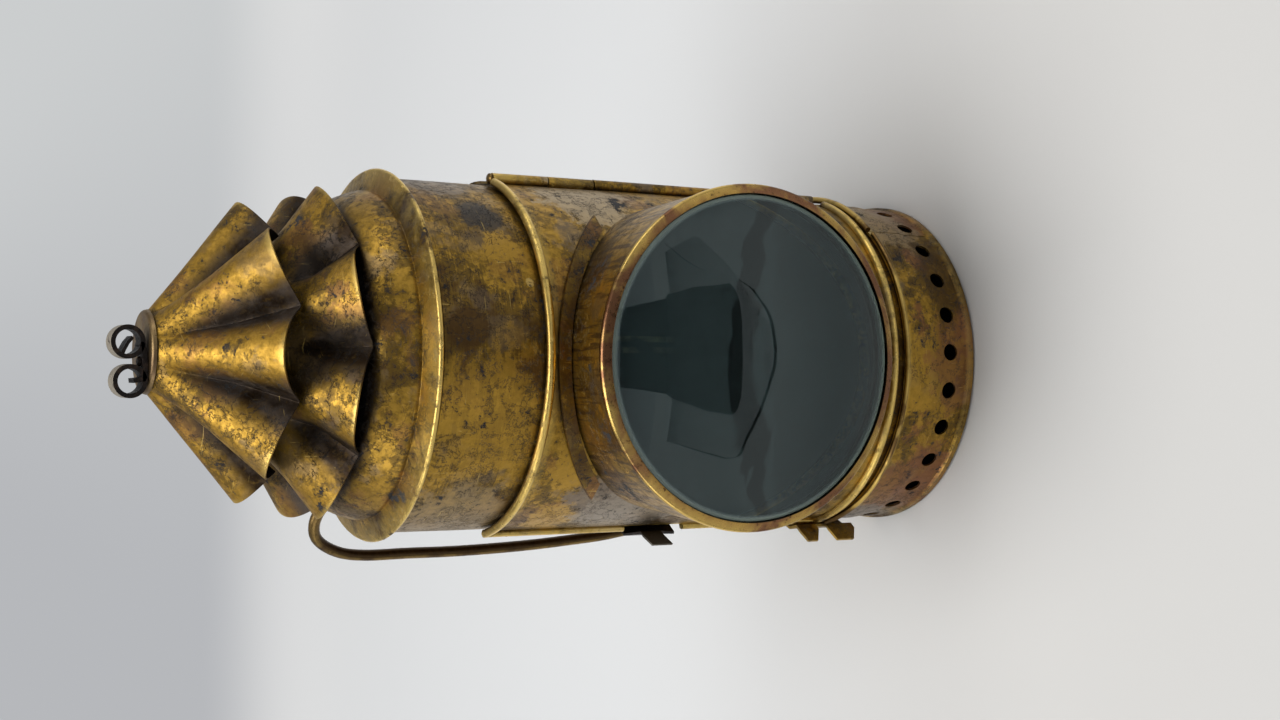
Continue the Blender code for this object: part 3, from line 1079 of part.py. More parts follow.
def make_burner():
    flange_bottom = FONT_TOP + SEAT_GAP
    flange_top = flange_bottom + BURNER_FLANGE_THICKNESS
    skirt = BURNER_HOLE_RADIUS - SEAT_GAP
    skirt_bottom = FONT_TOP - BURNER_SKIRT_DEPTH
    profile = [(0.0, skirt_bottom), (skirt, skirt_bottom), (skirt, flange_bottom),
               (BURNER_FLANGE_RADIUS, flange_bottom), (BURNER_FLANGE_RADIUS, flange_top),
               (BURNER_HOLE_RADIUS, flange_top), (BURNER_CONE_RADIUS, flange_top + BURNER_CONE_HEIGHT * 0.6),
               (BURNER_CONE_RADIUS, flange_top + BURNER_CONE_HEIGHT), (0.0, flange_top + BURNER_CONE_HEIGHT)]
    burner = finish("burner", revolve(profile, INNER_STEPS), brass("burner_brass"))
    tube_width = WICK_WIDTH + 2.0 * (SEAT_GAP + WICK_TUBE_WALL)
    tube_depth = WICK_THICKNESS + 2.0 * (SEAT_GAP + WICK_TUBE_WALL)
    slot = slab(tube_width + 2.0 * SEAT_GAP, tube_depth + 2.0 * SEAT_GAP, FONT_BOTTOM, WICK_TUBE_TOP)
    combine(burner, slot, "DIFFERENCE", "wick_slot")
    tube = finish("wick_tube", slab(tube_width, tube_depth, WICK_TUBE_BOTTOM, WICK_TUBE_TOP),
                  brass("wick_tube_brass"), smooth=False)
    bore = slab(WICK_WIDTH + 2.0 * SEAT_GAP, WICK_THICKNESS + 2.0 * SEAT_GAP,
                WICK_TUBE_BOTTOM - CUT_OVERRUN, WICK_TUBE_TOP + CUT_OVERRUN)
    combine(tube, bore, "DIFFERENCE", "wick_bore")
    cotton = principled("wick_cotton", (0.72, 0.66, 0.52), 0.0, 0.95)
    finish("wick", slab(WICK_WIDTH, WICK_THICKNESS, WICK_BOTTOM, WICK_TOP), cotton, smooth=False)


# Reflector on its bracket behind the flame
def make_reflector():
    curve = (REFLECTOR_RADIUS ** 2 + REFLECTOR_DEPTH ** 2) / (2.0 * REFLECTOR_DEPTH)
    outer = []
    for share in (0.0, 0.25, 0.5, 0.75, 0.9, 1.0):
        radius = REFLECTOR_RADIUS * share
        outer.append((radius, curve - math.sqrt(curve ** 2 - radius ** 2) - REFLECTOR_BACK))
    front = [(radius, forward + REFLECTOR_SHEET) for radius, forward in reversed(outer)]
    work = face_forward(revolve(outer + front, INNER_STEPS), LENS_HEIGHT)
    mirror = principled("reflector_silver", (0.8, 0.8, 0.78), 1.0, 0.18)
    finish("reflector", work, mirror)
    half = REFLECTOR_BRACKET_SHEET / 2.0
    low = FONT_RADIUS + SEAT_GAP + half
    high = REFLECTOR_BACK + SEAT_GAP + half
    foot = FLOOR_SHEET + FONT_RING_HEIGHT + REFLECTOR_BRACKET_FOOT
    path = [Vector((0.0, low, foot)), Vector((0.0, low, REFLECTOR_BRACKET_BEND)),
            Vector((0.0, high, LENS_HEIGHT - REFLECTOR_RADIUS)),
            Vector((0.0, high, LENS_HEIGHT + REFLECTOR_BRACKET_RISE))]
    spans = [(-REFLECTOR_BRACKET_WIDTH / 2.0, REFLECTOR_BRACKET_WIDTH / 2.0)] * len(path)
    finish("reflector_bracket", ribbon(path, spans, Vector((1.0, 0.0, 0.0)), REFLECTOR_BRACKET_SHEET),
           brass("reflector_bracket_brass"))


make_body_tube()
make_base()
make_sill()
make_hinge_leaf()
make_door()
make_barrel()
make_flanges()
make_rim()
make_glass()
make_cap()
make_shutter()
make_chimney()
make_crowns()
make_top()
make_handles()
make_belt_clip()
make_upper_catch()
make_lower_catch()
make_font()
make_burner()
make_reflector()
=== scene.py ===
"""Looks for the bullseye lantern: finer shapes, tarnished metal, glass, light and camera."""
import math

import bmesh
import bpy
from mathutils import Matrix, Vector, noise


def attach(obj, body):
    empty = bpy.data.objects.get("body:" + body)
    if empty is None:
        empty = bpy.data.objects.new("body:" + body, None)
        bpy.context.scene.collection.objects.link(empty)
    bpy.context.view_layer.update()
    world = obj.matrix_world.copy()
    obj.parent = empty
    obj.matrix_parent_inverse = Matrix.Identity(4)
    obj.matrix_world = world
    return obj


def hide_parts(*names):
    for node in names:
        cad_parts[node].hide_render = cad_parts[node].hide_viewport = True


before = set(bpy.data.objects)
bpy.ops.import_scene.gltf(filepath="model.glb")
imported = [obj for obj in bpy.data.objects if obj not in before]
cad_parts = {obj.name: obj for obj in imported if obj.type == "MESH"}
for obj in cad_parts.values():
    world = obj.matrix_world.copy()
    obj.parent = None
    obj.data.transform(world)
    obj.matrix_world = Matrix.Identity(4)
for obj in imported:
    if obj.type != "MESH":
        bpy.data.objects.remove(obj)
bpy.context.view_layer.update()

MM = 0.001
SHEET = 0.6 * MM
GAP = 0.3 * MM
OVERRUN = 2.0 * MM
FULL_TURN = 360.0
ROUND = 192
DENT_SEED = 7
UP = Vector((0.0, 0.0, 1.0))

# Case
TUBE_RADIUS = 41.0 * MM
TUBE_BOTTOM = 12.0 * MM
TUBE_TOP = 144.6 * MM
WINDOW_HALF_ANGLE = 62.0
WINDOW_BOTTOM = 29.0 * MM
WINDOW_TOP = 117.0 * MM
BASE_TOP = 21.8 * MM
VENT_COUNT = 27
VENT_RADIUS = 2.1 * MM
VENT_HEIGHT = 7.5 * MM
VENT_PHASE = 3.38
BASE_RADIUS = TUBE_RADIUS + GAP + SHEET
BASE_NECK = BASE_RADIUS - 0.4 * MM
FOOT_RADIUS = BASE_NECK + 0.5 * MM
FOOT_LEVELS = (0.5 * MM, 1.8 * MM, 2.6 * MM)
NECK_SLOPE = 1.6 * MM
FLOOR_SHEET = 0.8 * MM
SEAM_ANGLE = -38.0
SEAM_HALF_WIDTH = 0.12 * MM
SEAM_BOTTOM = 3.0 * MM

# Door, hinge and lens
DOOR_INNER = TUBE_RADIUS + 0.4 * MM
DOOR_RADIUS = DOOR_INNER + SHEET
DOOR_BOTTOM = 25.8 * MM
DOOR_TOP = 120.0 * MM
ROLL_RADIUS = 1.0 * MM
ROLL_CENTRE = DOOR_INNER + ROLL_RADIUS
EDGE_ROLL = 0.95 * MM
EDGE_RADIUS = DOOR_INNER + 0.03 * MM + EDGE_ROLL
LATCH_ANGLE = -77.5
DOOR_HINGE_ANGLE = 73.5
HINGE_ANGLE = 77.4
HINGE_BOTTOM = 28.0 * MM
HINGE_TOP = 119.4 * MM
KNUCKLE_RADIUS = 1.45 * MM
HINGE_DISTANCE = TUBE_RADIUS + GAP + KNUCKLE_RADIUS
PIN_RADIUS = 0.7 * MM
PIN_HEAD = 1.3 * MM
HINGE_BORE = 1.0 * MM
INSET = 0.08 * MM
KNUCKLE_LEVELS = ((42.5 * MM, 54.5 * MM), (92.9 * MM, 104.9 * MM))
LENS_HEIGHT = 77.5 * MM
LENS_OPENING = 34.5 * MM
CATCH_NOTCH = (66.4 * MM, 83.2 * MM)
BARREL_FRONT = 38.3 * MM
BARREL_ROOT = 37.4 * MM
BARREL_LENGTH = 56.4 * MM
BARREL_TAPER = (BARREL_FRONT - BARREL_ROOT) / (BARREL_LENGTH - DOOR_RADIUS)
BARREL_WALL = 0.4 * MM
RIM_RADIUS = 38.7 * MM
RIM_BEAD = 0.9 * MM
RIM_SHEET = 0.35 * MM
RIM_LIP = 36.5 * MM
RIM_LIP_FORWARD = 59.0 * MM
BEAD_FORWARD = BARREL_LENGTH + GAP + RIM_BEAD
RIM_BACK = BEAD_FORWARD - 5.0 * MM
RIM_BORE = BARREL_FRONT - BARREL_TAPER * (BARREL_LENGTH - RIM_BACK) - BARREL_WALL - GAP - RIM_SHEET
FLANGE_WIDTH = 3.0 * MM
FLANGE_REACH = 64.0
GLASS_EDGE = 5.0 * MM
GLASS_DOME = 6.5 * MM

# Turning top
BRIM_RADIUS = 43.05 * MM
BRIM_BEAD = 0.6 * MM
BRIM_HEIGHT = 146.0 * MM
SHOULDER = (37.9 * MM, 148.3 * MM)
DOME_HEIGHT = 13.4 * MM
NECK_RADIUS = 20.0 * MM
NECK_HEIGHT = 3.2 * MM
CAP_SHADOW_RADIUS = 33.1 * MM
CAP_SHADE = 34.9 * MM
LOBES = 8
LOBE_LIFT = 1.1 * MM
FLUTE_DEPTH = 7.0 * MM
PLATE_BOTTOM = 197.3 * MM
PLATE_TOP = 197.9 * MM
PLATE_RADIUS = 8.8 * MM
LOWER_TOP = (20.0 * MM, 175.0 * MM)
LOWER_RIDGE = (38.8 * MM, 162.4 * MM)
LOWER_VALLEY = ((24.9 * MM, 165.0 * MM), (34.6 * MM, 158.1 * MM))
UPPER_TOP = (8.6 * MM, 197.0 * MM)
UPPER_RIDGE = (33.6 * MM, 177.2 * MM)
UPPER_VALLEY = ((16.9 * MM, 182.6 * MM), (28.0 * MM, 171.1 * MM))
FINIAL_RIVET = (-2.1 * MM, -4.2 * MM)
SCROLL_SHEET = 1.0 * MM
SCROLL_RADIUS = 3.15 * MM
SCROLL_SPREAD = 4.2 * MM
SCROLL_RISE = 0.5 * MM
SCROLL_HALF_WIDTH = 2.3 * MM

# Catches, handles and their brackets
UPPER_LEAF = (67.6 * MM, 82.0 * MM)
UPPER_HOOK = (73.2 * MM, 79.0 * MM)
UPPER_TAB = (71.6 * MM, 77.4 * MM)
LOWER_LEAF = (15.2 * MM, 32.6 * MM)
LOWER_SPLIT = (23.4 * MM, 26.6 * MM)
LOWER_CORNER = 1.5 * MM
CATCH_BORE = 1.3 * MM
HANDLE_ANGLE = 135.0
HANDLE_DISTANCE = 43.85 * MM
HANDLE_REACH = 24.6 * MM
HANDLE_BOTTOM = 33.5 * MM
HANDLE_RISE = 111.5 * MM
HANDLE_ENDS = (116.5 * MM, 128.0 * MM, 41.0 * MM, 52.5 * MM)
HANDLE_WIRE = 1.45 * MM
BRACKET_BOTTOMS = (("upper", 119.0 * MM), ("lower", 41.0 * MM))
BRACKET_LENGTH = 9.0 * MM
BRACKET_RADIUS = 2.55 * MM
BRACKET_BORE = 1.75 * MM
BRACKET_SHEET = 0.8 * MM
BRACKET_HALF_ANGLE = 6.5


noise.seed_set(DENT_SEED)


# Geometry helpers
def polar(radius, angle, height=0.0):
    """A point at an angle in degrees from the front, growing towards +X."""
    turn = math.radians(angle)
    return Vector((radius * math.sin(turn), -radius * math.cos(turn), height))


def arc(centre, radius, start, end, steps):
    turns = [math.radians(start + (end - start) * step / steps) for step in range(steps + 1)]
    return [(centre[0] + radius * math.cos(turn), centre[1] + radius * math.sin(turn)) for turn in turns]


def refine(points, step, closed=True):
    """The same outline with its long edges split, so that dents have points to move."""
    result = []
    for a, b in zip(points, points[1:] + points[:1] if closed else points[1:]):
        count = max(1, round(math.dist(a, b) / step))
        result += [(a[0] + (b[0] - a[0]) * k / count, a[1] + (b[1] - a[1]) * k / count)
                   for k in range(count)]
    return result if closed else result + [points[-1]]


def between(a, b, share):
    return [a[k] + (b[k] - a[k]) * share for k in (0, 1)]


def skin(outlines, whole=False):
    """Faces between one outline of points and the next, closed at both ends or round to the first."""
    work = bmesh.new()
    rings = [[work.verts.new(point) for point in outline] for outline in outlines]
    for near, far in zip(rings, rings[1:] + (rings[:1] if whole else [])):
        for side in range(len(near)):
            after = (side + 1) % len(near)
            work.faces.new((near[side], near[after], far[after], far[side]))
    if not whole:
        work.faces.new(list(reversed(rings[0])))
        work.faces.new(rings[-1])
    return work


def revolve(profile, steps=ROUND, start=0.0, sweep=FULL_TURN):
    """Turns a closed profile of (radius, height) points about Z."""
    whole = sweep >= FULL_TURN
    angles = [start + sweep * step / steps for step in range(steps if whole else steps + 1)]
    return skin([[polar(radius, angle, height) for radius, height in profile] for angle in angles], whole)


def moved(work, place):
    bmesh.ops.transform(work, matrix=place, verts=work.verts)
    return work


def face_forward(work, height=LENS_HEIGHT):
    turn = Matrix.Translation((0.0, 0.0, height)) @ Matrix.Rotation(math.radians(90.0), 4, "X")
    return moved(work, turn)


def wire(points, radius, sides=20):
    """A round wire along points; radius is one number or one for each point."""
    rings, normal = [], None
    for index, point in enumerate(points):
        along = (points[min(index + 1, len(points) - 1)] - points[max(index - 1, 0)]).normalized()
        normal = along.orthogonal() if normal is None else normal
        normal = (normal - along * normal.dot(along)).normalized()
        other = along.cross(normal)
        size = radius[index] if isinstance(radius, list) else radius
        turns = [math.tau * side / sides for side in range(sides)]
        rings.append([point + (normal * math.cos(turn) + other * math.sin(turn)) * size for turn in turns])
    return skin(rings)


def smooth_curve(points, steps):
    """Points of a Catmull-Rom curve through the given points."""
    result = []
    ends = [points[0] * 2.0 - points[1]] + list(points) + [points[-1] * 2.0 - points[-2]]
    for a, b, c, d in zip(ends, ends[1:], ends[2:], ends[3:]):
        for step in range(steps):
            t = step / steps
            result.append(0.5 * (2.0 * b + (c - a) * t + (2.0 * a - 5.0 * b + 4.0 * c - d) * t ** 2
                                 + (3.0 * b - a - 3.0 * c + d) * t ** 3))
    result.append(points[-1])
    return result


def ribbon(points, spans, across, thickness):
    """A bent strip: its middle line lies in the plane square to across, and spans give its two edges."""
    rings = []
    for index, point in enumerate(points):
        along = points[min(index + 1, len(points) - 1)] - points[max(index - 1, 0)]
        side = along.normalized().cross(across) * (thickness / 2.0)
        low, high = (across * value for value in spans[index])
        rings.append((point + side + low, point + side + high, point - side + high, point - side + low))
    return skin(rings)


def cuboid(low, high):
    work = bmesh.new()
    bmesh.ops.create_cube(work, size=1.0)
    middle = (Vector(high) + Vector(low)) / 2.0
    return moved(work, Matrix.Translation(middle) @ Matrix.Diagonal((*(Vector(high) - Vector(low)), 1.0)))


def rod(radius, low, high, steps=24, place=Matrix()):
    return moved(revolve([(0.0, low), (radius, low), (radius, high), (0.0, high)], steps), place)


def radial_place(angle, height):
    """A frame at a height whose Z points away from the lantern's axis."""
    turn = Matrix.Rotation(math.radians(angle), 4, "Z") @ Matrix.Rotation(math.radians(90.0), 4, "X")
    return Matrix.Translation((0.0, 0.0, height)) @ turn


def strap(inner, outer, start, end, low, high, steps=12):
    profile = refine([(inner, low), (outer, low), (outer, high), (inner, high)], 3.0 * MM)
    return revolve(profile, steps, start, end - start)


def merge(first, *others):
    for other in others:
        spare = bpy.data.meshes.new("spare")
        other.to_mesh(spare)
        other.free()
        first.from_mesh(spare)
        bpy.data.meshes.remove(spare)
    return first


def linked(name, data):
    thing = bpy.data.objects.new(name, data)
    bpy.context.scene.collection.objects.link(thing)
    return thing


def meshed(name, work):
    mesh = bpy.data.meshes.new(name)
    work.to_mesh(mesh)
    work.free()
    return linked(name, mesh)


def solid(name, work):
    bmesh.ops.remove_doubles(work, verts=work.verts, dist=0.00001 * MM)
    bmesh.ops.recalc_face_normals(work, faces=work.faces)
    return meshed(name, work)


def shaped(thing, cuts):
    """Applies Boolean cuts, given as (operation, bmesh), and drops their helpers."""
    for operation, work in cuts:
        helper = solid("helper", work)
        modifier = thing.modifiers.new("cut", "BOOLEAN")
        modifier.operation, modifier.solver, modifier.object = operation, "EXACT", helper
        result = bpy.data.meshes.new_from_object(thing.evaluated_get(bpy.context.evaluated_depsgraph_get()))
        thing.modifiers.clear()
        old, thing.data = thing.data, result
        result.name = thing.name
        bpy.data.meshes.remove(old)
        bpy.data.objects.remove(helper)


def dent(point, amount):
    """Small waves of hand-worked sheet, the same for every piece at that place."""
    wave = noise.noise_vector(point * 38.0) * 0.16 + noise.noise_vector(point * 95.0) * 0.05
    return wave * amount * MM


def radial_out(point):
    return Vector((point.x, point.y, 0.0)).normalized()


def lens_out(point):
    return Vector((point.x, 0.0, point.z - LENS_HEIGHT)).normalized()


def never(point):
    return 0.0


def mark(mesh, name, by_face, value):
    """Writes one number for each face or point of a mesh, for its material to read."""
    layer = mesh.attributes.new(name, "FLOAT", "FACE" if by_face else "POINT")
    for index, part in enumerate(mesh.polygons if by_face else mesh.vertices):
        layer.data[index].value = value(part)


def piece(name, work, body, node, material, cuts=(), dents=1.0, outward=radial_out, wear_and_highlight=never, shade=never,
          sharp=32.0, edge=0.12 * MM, wear_and_highlight_by_face=False, painted_shadow=never):
    """One finished piece in a CAD node's place: cut, dented, marked for wear and painted highlight, for
    painted shade, and for soot with painted shade and shadow, and fixed.
    """
    thing = solid(name, work)
    shaped(thing, cuts)
    mesh = thing.data
    if dents:
        for vertex in mesh.vertices:
            vertex.co += dent(vertex.co, dents)
    mark(mesh, "wear_and_highlight", wear_and_highlight_by_face, lambda part: wear_and_highlight(part.center if wear_and_highlight_by_face else part.co))
    mark(mesh, "shade", False, lambda part: shade(part.co))
    # Soot and painted shade: faces turned against outward are blackened, as soot inside the lamp and as
    # painted shade on the inner sides of beads and handle wires; the mask passed in adds painted shadow.
    mark(mesh, "soot_and_shade", True, lambda part: max(painted_shadow(part.center),
                                              min(1.0, -2.0 * part.normal.dot(outward(part.center)))))
    mesh.shade_smooth()
    mesh.set_sharp_from_angle(angle=math.radians(sharp))
    if edge:
        bevel = thing.modifiers.new("edge", "BEVEL")
        bevel.width, bevel.segments, bevel.limit_method = edge, 2, "ANGLE"
        bevel.angle_limit = math.radians(50.0)
        bevel.harden_normals = True
    mesh.materials.clear()
    mesh.materials.append(material)
    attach(thing, body)
    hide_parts(node)
    return thing


# Materials
GOLD = (0.47, 0.275, 0.045)
OLIVE = (0.185, 0.112, 0.026)
BROWN = (0.098, 0.055, 0.022)
COPPER = (0.26, 0.115, 0.055)
VIOLET = (0.20, 0.162, 0.128)
BLACK = (0.012, 0.010, 0.009)
SLATE = (0.038, 0.036, 0.036)
BRIGHT = (0.78, 0.55, 0.16)


class Value:
    """A number in a node tree that can stand in a sum, where | gives the larger of two."""

    def __init__(self, paint, socket):
        self.paint, self.socket = paint, socket

    def __add__(self, other):
        return self.paint.math("ADD", self, other)

    def __sub__(self, other):
        return self.paint.math("SUBTRACT", self, other)

    def __rsub__(self, other):
        return self.paint.math("SUBTRACT", other, self)

    def __mul__(self, other):
        return self.paint.math("MULTIPLY", self, other)

    def __or__(self, other):
        return self.paint.math("MAXIMUM", self, other)

    def __abs__(self):
        return self.paint.math("ABSOLUTE", self)


class Paint:
    """Builds the nodes of one material, or of the world, from a few kinds of node."""

    def __init__(self, name, owners="materials", coordinates="Object", last="Principled BSDF"):
        self.owner = getattr(bpy.data, owners).new(name)
        self.owner.use_nodes = True
        self.tree = self.owner.node_tree
        self.shader = self.tree.nodes[last].inputs
        self.place = self.read("TexCoord", coordinates)

    def feed(self, sockets, values):
        """Links or sets inputs, given by name or number."""
        for key, value in values.items():
            if isinstance(value, Value):
                self.tree.links.new(value.socket, sockets[key])
            elif isinstance(value, tuple) and len(value) == 3 and sockets[key].type == "RGBA":
                sockets[key].default_value = (*value, 1.0)
            else:
                sockets[key].default_value = value

    def read(self, kind, output, inputs=None, **settings):
        """Adds a node and gives one of its outputs."""
        node = self.tree.nodes.new("ShaderNode" + kind)
        for key, value in settings.items():
            setattr(node, key, value)
        self.feed(node.inputs, inputs or {})
        return Value(self, node.outputs[output])

    def axes(self):
        """The three coordinates of the place."""
        return [self.read("SeparateXYZ", axis, {"Vector": self.place}) for axis in "XYZ"]

    def around(self):
        """Coordinates unrolled about the lantern's axis: length round the tube, and height."""
        x, y, z = self.axes()
        turn = self.math("ARCTAN2", x, y * -1.0)
        return self.read("CombineXYZ", "Vector", {"X": turn * TUBE_RADIUS, "Y": z})

    def away(self, centre, place=None):
        return self.read("VectorMath", "Value", {0: place or self.place, 1: centre}, operation="DISTANCE")

    def spot(self, centre, radius, ragged):
        """A patch about a point, from 0 outside to 1 inside, with an edge that a noise makes ragged."""
        return self.fade(self.away(centre) + ragged * (3.0 * radius), 2.6 * radius, 2.3 * radius)

    def rays(self):
        """Whether the camera looks here, and whether metal or glass does."""
        seen, shiny, through = (self.read("LightPath", "Is %s Ray" % kind)
                                for kind in ("Camera", "Glossy", "Transmission"))
        return seen, shiny | through

    def noise(self, size, detail=3.0, roughness=0.55, distortion=0.0, stretch=(1.0, 1.0, 1.0), shift=0.0,
              place=None):
        """Cloudy values between 0 and 1 whose features are about size metres across."""
        place = self.read("Mapping", "Vector", {"Vector": place or self.place,
                                                "Scale": [1.0 / (size * factor) for factor in stretch],
                                                "Location": (shift, shift * 0.7, shift * 1.3)})
        return self.read("TexNoise", "Fac", {"Vector": place, "Scale": 1.0, "Detail": detail,
                                             "Roughness": roughness, "Distortion": distortion})

    def fade(self, value, low, high, start=0.0, end=1.0, kind="SMOOTHSTEP"):
        return self.read("MapRange", "Result", {"Value": value, "From Min": low, "From Max": high,
                                                "To Min": start, "To Max": end}, interpolation_type=kind)

    def math(self, operation, first, second=0.0, clamp=False):
        return self.read("Math", "Value", {0: first, 1: second}, operation=operation, use_clamp=clamp)

    def mix(self, factor, first, second):
        return self.read("Mix", 2, {"Factor": factor, 6: first, 7: second}, data_type="RGBA")

    def mark(self, name):
        return self.read("Attribute", "Fac", attribute_name=name)

    def rubbed_and_highlit(self, share):
        """How bare the wear-and-highlight mark says the metal is, where share lets it; on the scroll rolls
        it is a painted highlight.
        """
        return self.math("MULTIPLY", self.mark("wear_and_highlight"), share, True)

    def finish(self, colour, metallic, rough, height=None, depth=0.0):
        """Feeds the shader, with bumps where a height is given, and returns the material."""
        self.feed(self.shader, {"Base Color": colour, "Metallic": metallic, "Roughness": rough})
        if height:
            bumps = self.read("Bump", "Normal", {"Distance": depth, "Height": height})
            self.feed(self.shader, {"Normal": bumps})
        return self.owner


def patina(name, tarnish=0.5, copper=0.3, violet=0.3, black=0.3, shift=0.0, streak=None, brushed=0.0,
           polish=0.0, deep=1.0, spots=()):
    """Old brass: gold and olive metal under brown, copper, violet and black tarnish, with scratches.

    streak is the stretch of dark runs, and spots are (centre, radius, colour, strength) patches.
    """
    paint = Paint(name + "_patina")
    fade, mix = paint.fade, paint.mix
    cloud = paint.noise(22.0 * MM, 9.0, 0.64, 0.1, shift=shift)
    blotch = paint.noise(7.0 * MM, 12.0, 0.74, 0.15, shift=shift + 3.1)
    film = paint.noise(15.0 * MM, 8.0, 0.62, 0.1, shift=shift + 7.7)
    speck = paint.noise(1.7 * MM, 6.0, 0.66, 0.3, shift=shift + 1.3)
    vein = paint.noise(5.0 * MM, 10.0, 0.72, 0.3, shift=shift + 6.1)
    tone = blotch * 0.55 + cloud * 0.45
    if brushed:
        grain = paint.noise(0.4 * MM, 4.0, 0.6, 0.0, (45.0, 1.0, 1.0), shift, paint.around())
        tone = tone + (grain - 0.5) * brushed
    first = 0.53 - 0.10 * tarnish
    colour = mix(fade(speck, 0.35, 0.62), GOLD, tuple(0.6 * part for part in GOLD))
    colour = mix(fade(tone, first, first + 0.035), colour, OLIVE)
    colour = mix(fade(film, 0.54, 0.60) * copper, colour, COPPER)
    stain = fade(tone, first + 0.04, first + 0.11)
    colour = mix(stain * 0.80, colour, BROWN)
    colour = mix(fade(film, 0.45, 0.38) * violet, colour, VIOLET)
    for centre, radius, tint, strength in spots:
        colour = mix(paint.spot(centre, radius, blotch) * strength, colour, tint)
    if streak:
        run = paint.noise(1.3 * MM, 5.0, 0.6, 0.1, streak, shift + 5.0)
        colour = mix(fade(run, 0.50, 0.60) * 0.8, colour, BROWN)
    # Painted shade: where the shade mark is set, the colour darkens to dark brown and violet-grey.
    shaded = mix(fade(film, 0.42, 0.58), (0.026, 0.016, 0.009), (0.085, 0.066, 0.052))
    colour = mix(paint.mark("shade") * fade(speck, 0.95, 0.50), colour, shaded)
    crack = fade(abs(vein - 0.5), 0.014, 0.005) * fade(cloud, 0.42, 0.50)
    cinder = 0.63 - 0.12 * black
    scab = fade(blotch, cinder, cinder + 0.015) * fade(film, 0.44, 0.50)
    pits = fade(speck, 0.60, 0.64) * fade(film, 0.40, 0.56)
    dark = scab | pits * 0.75 | crack * 0.8
    colour = mix(dark, colour, mix(fade(film, 0.4, 0.6), BLACK, SLATE))
    hair = paint.noise(0.5 * MM, 2.0, 0.5, 0.0, (18.0, 18.0, 1.0), shift + 2.0)
    cross = paint.noise(0.6 * MM, 2.0, 0.5, 1.5, (1.0, 22.0, 9.0), shift + 4.0)
    line = fade(hair, 0.70, 0.76) | fade(cross, 0.71, 0.77)
    worn = paint.rubbed_and_highlit(fade(tone, 0.60, 0.50)) | line * 0.35
    # Soot and painted shade: black where that mark is set, scaled by deep.
    soot_and_shade = paint.mark("soot_and_shade") * deep
    colour = mix(soot_and_shade, mix(worn, colour, BRIGHT), BLACK)
    rough = stain * 0.08 + (0.40 - 0.10 * polish) + (speck - 0.5) * 0.35 + dark * 0.25 - worn * 0.10
    rough = paint.math("ADD", rough, soot_and_shade * 0.3, True)
    relief = blotch * 0.7 + speck * 0.4 - dark * 0.35 - line * 0.2
    return paint.finish(colour, 1.0 - dark * 0.5, rough, relief, 0.14 * MM)


def aged(name, light, dark, rough=0.36):
    """Smoothly tarnished metal of wires, beads and plates: two tones, brightest where it is worn."""
    paint = Paint(name + "_brass")
    fade, mix = paint.fade, paint.mix
    cloud = paint.noise(9.0 * MM, 5.0, 0.55, 0.3)
    speck = paint.noise(1.1 * MM, 5.0, 0.6)
    colour = mix(fade(cloud, 0.38, 0.62), light, dark)
    colour = mix(fade(speck, 0.60, 0.68), colour, tuple(0.45 * part for part in dark))
    colour = mix(paint.rubbed_and_highlit(fade(cloud, 0.62, 0.44)), colour, BRIGHT)
    # Soot and painted shade: near black where that mark is set.
    colour = mix(paint.mark("soot_and_shade"), colour, mix(speck, BLACK, BROWN))
    rough = fade(speck, 0.3, 0.7, rough - 0.06, rough + 0.10)
    return paint.finish(colour, 1.0, rough, cloud + speck * 0.3, 0.06 * MM)


def iron(name):
    """Black-brown iron, paler and greyer where the wear-and-highlight mark is set: near the catch's tab, and
    as a painted highlight on the upper outer side of the scroll rolls.
    """
    paint = Paint(name)
    blotch = paint.noise(2.2 * MM, 6.0, 0.65, 0.6)
    speck = paint.noise(0.6 * MM, 4.0, 0.6)
    colour = paint.mix(paint.fade(blotch, 0.45, 0.68), (0.010, 0.007, 0.006), (0.040, 0.024, 0.016))
    # Paler grey where the mark is set, which on the scroll rolls is a painted highlight.
    colour = paint.mix(paint.rubbed_and_highlit(paint.fade(blotch, 0.72, 0.50)), colour, (0.30, 0.26, 0.20))
    rough = paint.fade(speck, 0.3, 0.7, 0.42, 0.62)
    return paint.finish(colour, 0.6, rough, blotch + speck * 0.4, 0.08 * MM)


def lens():
    """Faintly green glass, ground dull in a narrow ring where the bezel grips it."""
    paint = Paint("old_glass")
    flat = paint.read("VectorMath", "Vector", {0: paint.place, 1: (1.0, 0.0, 1.0)}, operation="MULTIPLY")
    ground = paint.fade(paint.away((0.0, 0.0, LENS_HEIGHT), flat), RIM_LIP - 1.7 * MM, RIM_LIP - 0.7 * MM)
    colour = paint.mix(ground, (0.34, 0.46, 0.47), (0.36, 0.44, 0.38))
    paint.feed(paint.shader, {"IOR": 1.50, "Specular Tint": (0.86, 1.0, 1.0),
                              "Transmission Weight": 1.0 - ground * 0.45})
    return paint.finish(colour, 0.0, 0.012, paint.noise(16.0 * MM, 2.0, 0.5, 0.4), 0.04 * MM)


def shutter_paint():
    """Sooted shutter behind the lens, with a double seam rubbed down to the brass."""
    paint = Paint("shutter_soot")
    fade = paint.fade
    x, y, z = paint.axes()
    cloud = paint.noise(11.0 * MM, 6.0, 0.6, 0.2)
    colour = paint.mix(fade(cloud, 0.35, 0.65), (0.014, 0.016, 0.016), (0.034, 0.038, 0.037))
    seam = fade(abs(abs(x - 2.6 * MM) - 1.1 * MM), 0.8 * MM, 0.4 * MM)
    seam = seam * (fade(z, 84.0 * MM, 96.0 * MM) * fade(y, -30.0 * MM, -34.0 * MM)) * fade(cloud, 0.7, 0.4)
    colour = paint.mix(seam, colour, (0.85, 0.62, 0.28))
    return paint.finish(colour, 0.2, fade(cloud, 0.3, 0.7, 0.5, 0.75), cloud, 0.1 * MM)


